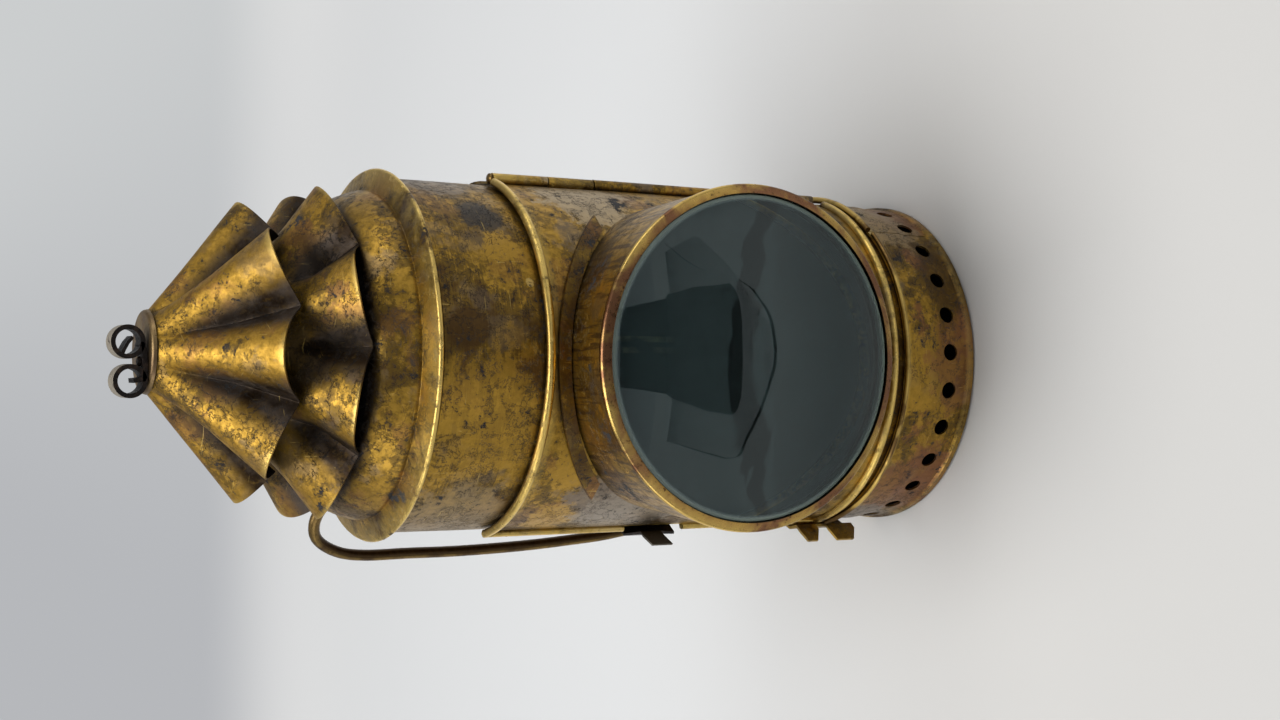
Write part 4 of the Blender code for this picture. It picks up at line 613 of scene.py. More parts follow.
def silver():
    paint = Paint("tarnished_silver")
    cloud = paint.noise(9.0 * MM, 6.0, 0.6, 0.5)
    speck = paint.noise(1.2 * MM, 4.0)
    colour = paint.mix(paint.fade(cloud, 0.42, 0.66), (0.72, 0.70, 0.66), (0.30, 0.25, 0.19))
    colour = paint.mix(paint.fade(speck, 0.66, 0.7), colour, BLACK)
    return paint.finish(colour, 1.0, paint.fade(cloud, 0.4, 0.7, 0.14, 0.4), cloud, 0.05 * MM)


def cotton():
    """Woven wick, burnt at its upper end."""
    paint = Paint("wick_weave")
    weave = paint.read("TexWave", "Fac", {"Vector": paint.place, "Scale": 900.0, "Distortion": 1.5},
                       wave_type="BANDS", bands_direction="DIAGONAL")
    burnt = paint.fade(paint.axes()[2], 58.0 * MM, 62.0 * MM)
    colour = paint.mix(weave, (0.42, 0.36, 0.26), (0.66, 0.60, 0.48))
    return paint.finish(paint.mix(burnt, colour, (0.02, 0.018, 0.016)), 0.0, 0.95, weave, 0.2 * MM)


# Wear on edges, as functions of a point
def near(value, target, width):
    return max(0.0, 1.0 - abs(value - target) / width)


def radius_of(point):
    return math.hypot(point.x, point.y)


def spots(radius, *rows):
    """Patches of tarnish or worn metal: rows of angle, height and size in mm, colour and strength."""
    return [(polar(radius, angle, height * MM), size * MM, colour, strength)
            for angle, height, size, colour, strength in rows]


TUBE_SPOTS = spots(
    TUBE_RADIUS,
    (-66.0, 134.0, 17.0, (0.27, 0.195, 0.10), 0.7),
    (-20.0, 134.0, 15.0, GOLD, 0.6),
    (23.0, 123.0, 1.1, (0.66, 0.46, 0.15), 0.85),
    (36.0, 128.0, 5.0, GOLD, 0.8),
    (50.0, 130.0, 5.5, SLATE, 0.85),
    (8.0, 139.0, 5.0, BROWN, 0.9),
    (72.0, 136.0, 8.0, VIOLET, 0.7))
BASE_SPOTS = spots(
    BASE_RADIUS,
    (-4.0, 16.0, 13.0, GOLD, 0.65),
    (-50.0, 8.0, 13.0, COPPER, 0.7),
    (66.0, 6.0, 9.0, COPPER, 0.7),
    (58.0, 17.0, 11.0, (0.36, 0.26, 0.14), 0.75),
    (-75.0, 16.0, 9.0, VIOLET, 0.8),
    (30.0, 3.0, 9.0, BROWN, 0.7),
    (0.0, 2.0, 12.0, COPPER, 0.6))
DOOR_SPOTS = spots(
    DOOR_RADIUS,
    (-50.0, 96.0, 12.0, VIOLET, 0.85),
    (-64.0, 108.0, 7.0, GOLD, 0.8),
    (-62.0, 88.0, 14.0, (0.31, 0.26, 0.20), 0.8),
    (-36.0, 108.0, 7.0, GOLD, 0.7),
    (62.0, 100.0, 12.0, (0.40, 0.31, 0.19), 0.85),
    (0.0, 112.0, 15.0, BROWN, 0.7))


def make_case():
    inner = TUBE_RADIUS - SHEET
    profile = [(inner, TUBE_BOTTOM), (TUBE_RADIUS, TUBE_BOTTOM), (TUBE_RADIUS, TUBE_TOP), (inner, TUBE_TOP)]
    depth = TUBE_RADIUS * math.cos(math.radians(WINDOW_HALF_ANGLE))
    reach = 2.0 * TUBE_RADIUS
    window = cuboid((-reach, -reach, WINDOW_BOTTOM), (reach, -depth, WINDOW_TOP))
    piece("case_tube", revolve(refine(profile, 2.5 * MM)), "case", "body_tube",
          patina("tube", 0.45, 0.2, 0.3, 0.25, 0.3, brushed=0.16, spots=TUBE_SPOTS),
          [("DIFFERENCE", window)])
    neck, inner = BASE_NECK, BASE_RADIUS - SHEET
    low, high = TUBE_BOTTOM - GAP - NECK_SLOPE, TUBE_BOTTOM - GAP
    foot_low, foot_high, foot_end = FOOT_LEVELS
    profile = [(neck - SHEET, 0.0), (neck, 0.0), (FOOT_RADIUS, foot_low), (FOOT_RADIUS, foot_high),
               (neck, foot_end), (neck, low), (BASE_RADIUS, high), (BASE_RADIUS, BASE_TOP),
               (inner, BASE_TOP), (inner, high), (neck - SHEET, low)]
    holes = [rod(VENT_RADIUS, TUBE_RADIUS - OVERRUN, TUBE_RADIUS + OVERRUN, 28,
                 radial_place(VENT_PHASE + FULL_TURN * index / VENT_COUNT, VENT_HEIGHT))
             for index in range(VENT_COUNT)]
    seam = cuboid((TUBE_RADIUS - 2.0 * SHEET, -SEAM_HALF_WIDTH, SEAM_BOTTOM),
                  (TUBE_RADIUS + OVERRUN, SEAM_HALF_WIDTH, BASE_TOP + OVERRUN / 2.0))
    seam = moved(seam, Matrix.Rotation(math.radians(SEAM_ANGLE), 4, "Z"))
    piece("case_base", revolve(refine(profile, 2.0 * MM)), "case", "base_ring",
          patina("base", 0.5, 0.7, 0.4, 0.3, 4.4, brushed=0.06, spots=BASE_SPOTS),
          [("DIFFERENCE", merge(*holes)), ("DIFFERENCE", seam)],
          wear_and_highlight=lambda co: 0.9 * near(co.z, BASE_TOP, 0.5 * MM) + 0.4 * near(co.z, 1.2 * MM, 1.2 * MM))
    edge = neck - SHEET - GAP
    floor = [(0.0, 0.0), (edge, 0.0), (edge, FLOOR_SHEET), (0.0, FLOOR_SHEET)]
    piece("case_floor", revolve(refine(floor, 4.0 * MM)), "case", "base_plate",
          patina("floor", 0.6, 0.5, 0.4, 0.4, 8.0), dents=0.0, outward=lambda co: -UP)


def make_sill():
    """Two beads of wire; the front one grows thinner and lower away from the catches."""
    for name, node, start, end, taper in (("sill_bead_front", "sill_wire_front", -75.5, 49.0, 1.0),
                                          ("sill_bead_side", "sill_wire_side", 50.5, 138.0, 0.0)):
        outlines = []
        steps = round(end - start)
        for step in range(steps + 1):
            angle = start + (end - start) * step / steps
            share = taper * min(1.0, (angle - start) / 25.0)
            radius = (0.85 - 0.25 * share) * MM
            height = BASE_TOP + (1.2 - share) * MM
            section = arc((BASE_RADIUS + GAP + radius, height), radius, 0.0, FULL_TURN, 16)[:-1]
            outlines.append([polar(distance, angle, level) for distance, level in section])
        piece(name, skin(outlines), "case", node, aged(name, (0.40, 0.25, 0.06), (0.17, 0.10, 0.035)),
              wear_and_highlight=lambda co: 0.55)


def knuckle(low, high, radius=KNUCKLE_RADIUS):
    return rod(radius, low, high, 32, Matrix.Translation(polar(HINGE_DISTANCE, HINGE_ANGLE)))


def hinge_bore():
    return knuckle(HINGE_BOTTOM - OVERRUN, HINGE_TOP + OVERRUN, HINGE_BORE)


def knuckle_on_strap(inner, start, end, low, high):
    """Unions of a knuckle and of the strip that joins it to its sheet, set in a little from the faces."""
    strip = strap(inner + INSET, inner + SHEET - INSET, start, end, low + INSET, high - INSET, 8)
    return [("UNION", strip), ("UNION", knuckle(low, high))]


def make_hinge():
    inner = TUBE_RADIUS + GAP
    cuts = []
    for low, high in KNUCKLE_LEVELS:
        cuts += knuckle_on_strap(inner, HINGE_ANGLE - 0.4, HINGE_ANGLE + 6.0, low, high)
    sheet = strap(inner, inner + SHEET, HINGE_ANGLE + 3.0, 94.0, HINGE_BOTTOM, HINGE_TOP, 20)
    piece("hinge_strap", sheet, "case", "hinge_leaf", patina("hinge", 0.7, 0.3, 0.2, 0.4, 6.0, deep=0.0),
          cuts + [("DIFFERENCE", hinge_bore())], dents=0.0, wear_and_highlight=lambda co: 0.2)
    foot, head = HINGE_BOTTOM - GAP, HINGE_TOP + GAP
    profile = [(0.0, foot), (PIN_RADIUS, foot), (PIN_RADIUS, head), (PIN_HEAD, head),
               (PIN_HEAD, head + 0.4 * MM), (0.9 * MM, head + 0.7 * MM), (0.0, head + 0.8 * MM)]
    place = Matrix.Translation(polar(HINGE_DISTANCE, HINGE_ANGLE))
    piece("hinge_rod", moved(revolve(profile, 32), place), "case", "hinge_pin",
          aged("pin", (0.32, 0.20, 0.06), (0.16, 0.10, 0.04)), dents=0.0)


def make_door():
    lift = math.degrees(math.acos((ROLL_CENTRE - DOOR_RADIUS) / ROLL_RADIUS))
    top = arc((ROLL_CENTRE, DOOR_TOP), ROLL_RADIUS, lift - 180.0, 180.0, 18)
    bottom = arc((ROLL_CENTRE, DOOR_BOTTOM), ROLL_RADIUS, 180.0, 540.0 - lift, 18)
    sheet = revolve(refine(bottom + top, 2.5 * MM), 120, LATCH_ANGLE, DOOR_HINGE_ANGLE - LATCH_ANGLE)
    cuts = [("DIFFERENCE", face_forward(rod(LENS_OPENING, 0.0, 1.5 * DOOR_RADIUS, 128)))]
    edge = Matrix.Translation(polar(EDGE_RADIUS, LATCH_ANGLE))
    for low, high in ((DOOR_BOTTOM - ROLL_RADIUS / 2.0, CATCH_NOTCH[0]),
                      (CATCH_NOTCH[1], DOOR_TOP + ROLL_RADIUS / 2.0)):
        cuts.append(("UNION", rod(EDGE_ROLL, low, high, 24, edge)))
    lower, upper = KNUCKLE_LEVELS
    for low, high in ((HINGE_BOTTOM, lower[0] - GAP), (lower[1] + GAP, upper[0] - GAP),
                      (upper[1] + GAP, HINGE_TOP)):
        cuts += knuckle_on_strap(DOOR_INNER, DOOR_HINGE_ANGLE - 3.0, HINGE_ANGLE + 0.4, low, high)
    cuts.append(("DIFFERENCE", hinge_bore()))

    def wear_and_highlight(co):
        roll = max(near(co.z, DOOR_TOP, 1.4 * MM), near(co.z, DOOR_BOTTOM, 1.4 * MM))
        latch = near(math.hypot(co.x - edge.translation.x, co.y - edge.translation.y), 0.0, 1.8 * MM)
        return min(1.0, 1.3 * max(roll, latch))

    piece("door_sheet", sheet, "door", "door_shell",
          patina("door", 0.5, 0.3, 0.45, 0.3, 1.9, spots=DOOR_SPOTS, deep=0.85), cuts, dents=0.7, wear_and_highlight=wear_and_highlight)


def make_barrel():
    root = BARREL_FRONT - BARREL_TAPER * BARREL_LENGTH
    profile = refine([(root - BARREL_WALL, 0.0), (root, 0.0), (BARREL_FRONT, BARREL_LENGTH),
                      (BARREL_FRONT - BARREL_WALL, BARREL_LENGTH)], 2.5 * MM)
    reach = 1.5 * TUBE_RADIUS
    cuts = [("DIFFERENCE", rod(DOOR_RADIUS + GAP, 0.0, TUBE_TOP, 2 * ROUND)),
            ("DIFFERENCE", cuboid((-reach, -OVERRUN, 0.0), (reach, reach, TUBE_TOP)))]
    piece("lens_drum", face_forward(revolve(profile)), "door", "lens_barrel",
          patina("drum", 0.42, 0.25, 0.35, 0.3, 5.5, streak=(1.0, 14.0, 1.0)), cuts, dents=0.6,
          outward=lens_out)
    inner = BARREL_ROOT + BARREL_TAPER * (GAP + SHEET) + GAP
    outer = inner + FLANGE_WIDTH
    seat = DOOR_RADIUS + GAP
    rise = inner * math.cos(math.radians(50.0))
    for name, node, side in (("drum_strip_upper", "barrel_flange_upper", 1.0),
                             ("drum_strip_lower", "barrel_flange_lower", -1.0)):
        low, high = sorted((LENS_HEIGHT + side * rise, LENS_HEIGHT + side * (outer + OVERRUN)))
        ring = [(inner, 0.0), (outer, 0.0), (outer, 1.5 * seat), (inner, 1.5 * seat)]
        piece(name, strap(seat, seat + SHEET, -FLANGE_REACH, FLANGE_REACH, low, high, 96), "door", node,
              patina(name, 0.95, 0.5, 0.15, 0.4, 3.0), [("INTERSECT", face_forward(revolve(ring)))],
              dents=0.7)
    front = BARREL_FRONT - BARREL_WALL - GAP
    profile = [(RIM_BORE, RIM_BACK), (RIM_BORE + RIM_SHEET, RIM_BACK), (front, BEAD_FORWARD - RIM_BEAD)]
    profile += arc((RIM_RADIUS - RIM_BEAD, BEAD_FORWARD), RIM_BEAD, -90.0, 90.0, 12)
    profile += [(RIM_LIP + RIM_SHEET, RIM_LIP_FORWARD), (RIM_LIP, RIM_LIP_FORWARD),
                (RIM_LIP, RIM_LIP_FORWARD - RIM_SHEET), (RIM_BORE, BEAD_FORWARD)]
    piece("lens_bezel", face_forward(revolve(profile, 256)), "door", "lens_rim",
          aged("bezel", (0.42, 0.26, 0.07), (0.21, 0.10, 0.05), 0.30), dents=0.4, outward=lens_out,
          wear_and_highlight=lambda co: 0.9 * near(-co.y, BEAD_FORWARD + 0.4 * MM, 1.1 * MM)
          * near(math.hypot(co.x, co.z - LENS_HEIGHT), RIM_RADIUS, 1.6 * MM))


def make_glass():
    seat = RIM_LIP_FORWARD - RIM_SHEET - GAP
    edge, dome = RIM_BORE - GAP, RIM_LIP - GAP
    shoulder = BEAD_FORWARD - GAP
    back = shoulder - GLASS_EDGE
    curve = (dome ** 2 + GLASS_DOME ** 2) / (2.0 * GLASS_DOME)
    profile = [(0.0, back), (edge - 0.4 * MM, back), (edge, back + 0.4 * MM), (edge, shoulder), (dome, seat)]
    for step in range(1, 33):
        radius = dome * (1.0 - step / 32.0)
        profile.append((radius, seat + GLASS_DOME - curve + math.sqrt(curve ** 2 - radius ** 2)))
    piece("bull_glass", face_forward(revolve(profile, 256)), "door", "lens_glass", lens(), dents=0.0,
          edge=0.0, sharp=20.0)


def dome_outline():
    width = SHOULDER[0] - NECK_RADIUS
    shares = ((1.0, 0.09), (0.965, 0.24), (0.905, 0.44), (0.83, 0.6), (0.69, 0.78), (0.44, 0.93),
              (0.15, 1.0))
    return [(NECK_RADIUS + width * out, SHOULDER[1] + DOME_HEIGHT * up) for out, up in shares]


def make_cap():
    neck_top = SHOULDER[1] + DOME_HEIGHT + NECK_HEIGHT
    dome = [Vector((radius, 0.0, height)) for radius, height in [SHOULDER] + dome_outline()]
    outline = [(BRIM_RADIUS - BRIM_BEAD, BRIM_HEIGHT + BRIM_BEAD)]
    outline += [(point.x, point.z) for point in smooth_curve(dome, 5)] + [(NECK_RADIUS, neck_top)]
    under = []
    for index, point in enumerate(outline):
        along = Vector(outline[min(index + 1, len(outline) - 1)]) - Vector(outline[max(index - 1, 0)])
        along.normalize()
        under.append((point[0] - along.y * SHEET, point[1] + along.x * SHEET))
    under[-1] = (NECK_RADIUS - SHEET, neck_top)
    profile = arc((BRIM_RADIUS - BRIM_BEAD, BRIM_HEIGHT), BRIM_BEAD, -180.0, 90.0, 10)
    profile += outline[1:] + list(reversed(under[1:]))
    # Painted shade and painted shadow on the dome under the lower crown's edge: darker inside one radius,
    # near black inside a smaller one.
    piece("cap_dome", revolve(profile), "turning_top", "cap", patina("cap", 0.5, 0.35, 0.4, 0.35, 7.2),
          outward=lambda co: (radial_out(co) + UP * 1.4).normalized(),
          wear_and_highlight=lambda co: near(radius_of(co), BRIM_RADIUS, 1.0 * MM),
          shade=lambda co: max(0.0, min(1.0, (CAP_SHADE - radius_of(co)) / (2.0 * SHEET))),
          painted_shadow=lambda co: 0.95 if radius_of(co) < CAP_SHADOW_RADIUS else 0.0)


def crown(name, node, material, top, ridge, valley, flutes, seed, dark=1.7):
    """Fluted cone with hand-bent lobes.

    flutes give the first ridge, the sharpness of the valleys, how far they are rounded, and how many
    degrees each valley, counted from the first ridge towards +X, is bent out of its place. dark says how
    soon the painted shade of the valleys darkens with their depth.
    """
    first_ridge, sharpness, rounding, bends = flutes
    levels, steps = 22, 30 * LOBES
    middle, foot = valley
    outlines = []
    for step in range(steps):
        turn = LOBES * step / steps
        bent = bends[int(turn)] * math.sin(math.pi * (turn - int(turn))) ** 2
        angle = first_ridge + FULL_TURN * step / steps + bent
        fold = abs(math.cos(math.pi * turn))
        lowest = rounding ** sharpness
        swell = ((fold * fold + rounding ** 2) ** (sharpness / 2.0) - lowest)
        swell /= (1.0 + rounding ** 2) ** (sharpness / 2.0) - lowest
        lobe = round(LOBES * step / steps) % LOBES
        bend = noise.noise(Vector((seed, 1.7 * lobe, 0.0)))
        outer = []
        for level in range(levels + 1):
            share = level / levels
            high = between(top, ridge, share)
            if share < 0.5:
                low = between(top, middle, 2.0 * share)
            else:
                low = between(middle, foot, 2.0 * share - 1.0)
            radius, height = between(low, high, swell)
            lift = LOBE_LIFT * bend * share * share * swell
            outer.append((radius + 0.4 * lift, height + lift))
        slope = Vector((outer[-1][0] - top[0], outer[-1][1] - top[1])).normalized()
        inner = [(radius + slope.y * SHEET, height - slope.x * SHEET) for radius, height in outer]
        outlines.append([polar(radius, angle, height) for radius, height in outer + inner[::-1]])

    def across(co):
        return (radius_of(co) - top[0]) / (ridge[0] - top[0])

    def depth(co):
        """How far a point lies below the cone through the ridges, from 0 to 1."""
        return (between(top, ridge, across(co))[1] - co.z) / FLUTE_DEPTH

    def wear_and_highlight(co):
        return min(1.0, 0.8 * max(0.0, across(co) - 0.95) / 0.05 * max(0.0, 1.0 - 2.0 * depth(co)))

    # Painted shade in the valleys, darker with their depth.
    piece(name, skin(outlines, whole=True), "turning_top", node, material, sharp=45.0,
          outward=lambda co: (radial_out(co) + UP * 1.2).normalized(), wear_and_highlight=wear_and_highlight,
          shade=lambda co: max(0.0, min(1.0, dark * depth(co) - 0.3)))


def make_crowns():
    crown("crown_lower", "lower_crown", patina("lower_crown", 0.45, 0.4, 0.35, 0.22, 2.6, polish=-1.2),
          LOWER_TOP, LOWER_RIDGE, LOWER_VALLEY,
          (25.0, 0.42, 0.12, (-4.0, 0.0, 0.0, 0.0, 0.0, 0.0, 3.0, 0.0)), 3.0, 2.5)
    crown("crown_upper", "upper_crown", patina("upper_crown", 0.30, 0.35, 0.25, 0.15, 0.8, polish=-1.2),
          UPPER_TOP, UPPER_RIDGE, UPPER_VALLEY,
          (-0.5, 0.75, 0.10, (-1.0, 2.0, 0.0, 0.0, 0.0, 0.0, -2.0, 1.0)), 8.0)


def make_finial():
    rivet_x, front = FINIAL_RIVET
    spot = Matrix.Translation((rivet_x, front, 0.0))
    skirt = PLATE_BOTTOM - 0.45 * MM
    profile = [(0.0, PLATE_BOTTOM), (PLATE_RADIUS - 0.1 * MM, PLATE_BOTTOM),
               (PLATE_RADIUS + 0.15 * MM, skirt), (PLATE_RADIUS + 0.5 * MM, skirt)]
    profile += arc((PLATE_RADIUS - 0.4 * MM, PLATE_TOP - 0.8 * MM), 0.8 * MM, 0.0, 90.0, 6)
    profile.append((0.0, PLATE_TOP))
    piece("crown_plate", revolve(profile, 96), "turning_top", "top_plate",
          aged("plate", (0.27, 0.185, 0.085), (0.155, 0.10, 0.055), 0.42),
          [("DIFFERENCE", rod(MM, PLATE_BOTTOM - OVERRUN, PLATE_TOP + OVERRUN, 24, spot))], dents=0.0,
          edge=0.0, outward=lambda co: UP)
    base = PLATE_TOP + 0.2 * MM + SCROLL_SHEET / 2.0
    path, rings = [], []
    for side, rise, end, tip in ((-1.0, 0.0, 352.0, (-0.03, -0.22)),
                                 (1.0, SCROLL_RISE, 350.0, (-0.1, -0.8))):
        middle = Vector((SCROLL_SPREAD, 0.0, base + rise + SCROLL_RADIUS))
        turns = [math.radians(end * step / 60 - 90.0) for step in range(61)]
        curl = [Vector((0.0, 0.0, base))]
        curl += [middle + Vector((math.cos(turn), 0.0, math.sin(turn))) * SCROLL_RADIUS for turn in turns]
        curl.append(middle + Vector((tip[0], 0.0, tip[1])) * SCROLL_RADIUS)
        curl = [Vector((rivet_x + side * point.x, front, point.z)) for point in curl]
        path = curl[::-1] if side < 0.0 else path + curl[1:]
        rings.append(Vector((rivet_x + side * SCROLL_SPREAD, front, middle.z)))

    def strip(points, half_width, thickness):
        return ribbon(points, [(-half_width, half_width)] * len(points), Vector((0.0, 1.0, 0.0)), thickness)

    tongue = [rings[1] + Vector((x, 0.0, z)) * MM
              for x, z in ((-2.75, 1.2), (-1.6, 0.75), (-0.2, 0.0), (1.0, -1.0))]
    tongue = strip(tongue, SCROLL_HALF_WIDTH - 0.1 * MM, 0.7 * SCROLL_SHEET)

    def wear_and_highlight(co):
        """Painted highlight on the outer side of both rolls, above their middle, where light from above
        falls.
        """
        away = min(math.hypot(co.x - ring.x, co.z - ring.z) for ring in rings)
        return 1.0 if away > SCROLL_RADIUS + 0.15 * MM and co.z > rings[0].z - MM else 0.0

    piece("crown_scroll", strip(path, SCROLL_HALF_WIDTH, SCROLL_SHEET), "turning_top", "scroll_finial",
          iron("scroll_metal"),
          [("UNION", tongue), ("DIFFERENCE", rod(MM, PLATE_TOP, PLATE_TOP + 2.2 * MM, 24, spot))], dents=0.0,
          edge=0.1 * MM, wear_and_highlight=wear_and_highlight, wear_and_highlight_by_face=True)


def catch_path(base, tail, reach, sheet):
    margin = math.degrees((EDGE_ROLL + GAP) / TUBE_RADIUS)
    behind, ahead = LATCH_ANGLE - margin, LATCH_ANGLE + margin
    step = math.degrees(2.0 * EDGE_ROLL / TUBE_RADIUS)
    low, high = base + sheet / 2.0, EDGE_RADIUS + EDGE_ROLL + GAP + sheet / 2.0
    bend = behind - 1.5 * step
    body = [(low, tail + (bend - tail) * share / 10.0) for share in range(11)]
    hook = [(high, behind - 0.2 * step), (high, ahead)]
    return body, hook, [(high + reach * 0.3, ahead + step * 0.5), (high + reach, ahead + step)]


def rivet_hole(angle, height):
    place = radial_place(angle, height)
    return "DIFFERENCE", rod(CATCH_BORE, 0.5 * TUBE_RADIUS, 1.5 * TUBE_RADIUS, 24, place)


def make_catches():
    sheet = 0.6 * MM
    body, hook, tab = catch_path(TUBE_RADIUS + GAP, -103.0, 3.6 * MM, sheet)
    path = [polar(radius, angle) for radius, angle in body + hook + tab]
    spans = [UPPER_LEAF] * (len(body) + 1) + [UPPER_HOOK] * 2 + [UPPER_TAB]
    piece("catch_upper_leaf", ribbon(path, spans, UP, sheet), "upper_spring_catch", "upper_catch",
          iron("catch_iron"), [rivet_hole(-100.5, 74.8 * MM)], dents=0.0,
          wear_and_highlight=lambda co: 0.35 * near(co.y, -14.0 * MM, 3.0 * MM))
    sheet = 0.7 * MM
    body, hook, tab = catch_path(BASE_RADIUS + GAP, -99.0, 4.4 * MM, sheet)
    path = [polar(radius, angle) for radius, angle in body + hook]
    fin = [polar(radius, angle) for radius, angle in hook + tab]
    cuts = []
    for low, high in ((LOWER_LEAF[0], LOWER_SPLIT[0]), (LOWER_SPLIT[1], LOWER_LEAF[1])):
        spans = [(low, high)] * (len(fin) - 1) + [(low + LOWER_CORNER, high - LOWER_CORNER)]
        cuts.append(("UNION", ribbon(fin, spans, UP, sheet)))
    piece("catch_lower_leaf", ribbon(path, [LOWER_LEAF] * len(path), UP, sheet), "lower_spring_catch",
          "lower_catch", patina("lower_catch", 0.5, 0.7, 0.3, 0.3, 6.6, deep=0.0),
          cuts + [rivet_hole(-96.5, 18.2 * MM)], dents=0.0, wear_and_highlight=lambda co: 0.2)


def make_handles():
    """Bracket tubes on straps, and bails whose shares of reach and rise follow the bent wire."""
    shares = ((0.06, 0.93), (0.25, 0.98), (0.5, 1.0), (0.75, 0.985), (0.93, 0.93), (1.0, 0.86), (1.0, 0.75),
              (1.0, 0.62), (0.97, 0.46), (0.92, 0.34), (0.85, 0.22), (0.7, 0.1), (0.45, 0.025), (0.2, 0.0),
              (0.04, 0.025))
    inner = TUBE_RADIUS + GAP
    for side, sign, heading in (("left", -1.0, 145.0), ("right", 1.0, 90.0)):
        angle = sign * HANDLE_ANGLE
        root = polar(HANDLE_DISTANCE, angle)
        place = Matrix.Translation(root)
        for level, low in BRACKET_BOTTOMS:
            high = low + BRACKET_LENGTH
            sheet = strap(inner, inner + BRACKET_SHEET, angle - BRACKET_HALF_ANGLE,
                          angle + BRACKET_HALF_ANGLE, low, high)
            cuts = [("UNION", rod(BRACKET_RADIUS, low, high, 40, place)),
                    ("DIFFERENCE", rod(BRACKET_BORE, low - OVERRUN, high + OVERRUN, 40, place))]
            piece("%s_bracket_%s" % (side, level), sheet, "case", "handle_bracket_%s_%s" % (side, level),
                  patina("%s_%s_bracket" % (side, level), 0.6, 0.3, 0.3, 0.4, low * 50.0, deep=0.0), cuts,
                  dents=0.0, wear_and_highlight=lambda co: 0.15)
        out = Matrix.Rotation(math.radians(heading), 3, "Z") @ Vector((HANDLE_REACH, 0.0, 0.0))
        ends = [root + UP * height for height in HANDLE_ENDS]
        bail = [root + out * share + UP * (HANDLE_BOTTOM + HANDLE_RISE * up) for share, up in shares]
        piece(side + "_bail", wire(smooth_curve(ends[:2] + bail + ends[2:], 8), HANDLE_WIRE), side + "_grip",
              side + "_handle", aged(side + "_wire", (0.17, 0.105, 0.035), (0.085, 0.052, 0.024)), dents=0.5,
              wear_and_highlight=lambda co: 0.10)


def dress_inner_nodes():
    """The CAD solids that stay: shaded smooth, each with its own material."""
    looks = {
        "belt_clip": aged("clip", (0.27, 0.17, 0.055), (0.105, 0.065, 0.028)),
        "belt_clip_rivet_1": patina("clip_rivet_1", 0.4, shift=1.0),
        "belt_clip_rivet_2": patina("clip_rivet_2", 0.4, shift=2.0),
        "lower_catch_rivet": patina("lower_rivet", 0.4, shift=3.0),
        "bearing_ring": patina("bearing", 0.5), "font_ring": patina("font_ring", 0.6),
        "filler_cap": patina("filler", 0.3, polish=0.8), "burner": patina("burner", 0.4, polish=0.6),
        "wick_tube": patina("wick_tube", 0.5), "reflector_bracket": patina("reflector_bracket", 0.5),
        "chimney_tube": patina("chimney", 0.9, 0.2, 0.2, 0.9), "shutter_sleeve": shutter_paint(),
        "upper_catch_rivet": iron("catch_rivet_iron"), "finial_rivet": iron("finial_rivet_iron"),
        "lens_retaining_ring": iron("retainer_soot"), "reflector": silver(), "oil_font": silver(),
        "wick": cotton()}
    for node, material in looks.items():
        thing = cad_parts[node]
        thing.data.shade_smooth()
        weld = thing.modifiers.new("weld", "WELD")
        weld.merge_threshold = 0.001 * MM
        split = thing.modifiers.new("split", "EDGE_SPLIT")
        split.split_angle = math.radians(35.0)
        thing.data.materials.clear()
        thing.data.materials.append(material)


# Floor, light and camera, in metres from the lantern's axis
FLOOR_RADIUS = 12.0
FLOOR_DROP = 0.2 * MM
CAMERA_GLOW = (0.36, 0.62)
MIRROR_GLOW = (0.04, 0.10)
REFLECTION_LIFT = 0.6 * MM

# What the lens mirrors, as painted dark reflections: the card's rows are distance, height and two edges, the
# halo's distance and edge
CARD = ((-0.240, 0.002, -0.040, 0.064), (-0.246, 0.002, -0.054, 0.078), (-0.262, 0.002, -0.064, 0.090),
        (-0.374, 0.002, -0.086, 0.124), (-0.474, 0.002, -0.101, 0.155), (-0.90, 0.002, -0.166, 0.275),
        (-1.33, 0.002, -0.232, 0.40), (-1.75, 0.002, -0.275, 0.48), (-1.76, 0.31, -0.246, 0.424),
        (-1.76, 0.40, -0.23, 0.40))
HALO_LEFT = ((-1.178, -0.454), (-0.372, -0.158), (-0.232, -0.1045), (-0.2055, -0.075), (-0.1765, -0.0205))
HALO_RIGHT = ((-1.051, 0.615), (-0.5015, 0.228), (-0.2365, 0.0865), (-0.188, 0.0505), (-0.171, 0.0265))
HALO_TIP = (-0.1675, 0.0005)
BAND_CENTRE = Vector((0.0, -0.06, 0.0))
BAND_WIDTH = 0.05


def staged(name, work, material):
    """Adds a mesh that belongs to the studio and not to the lantern."""
    thing = meshed(name, work)
    thing.data.materials.append(material)
    return thing


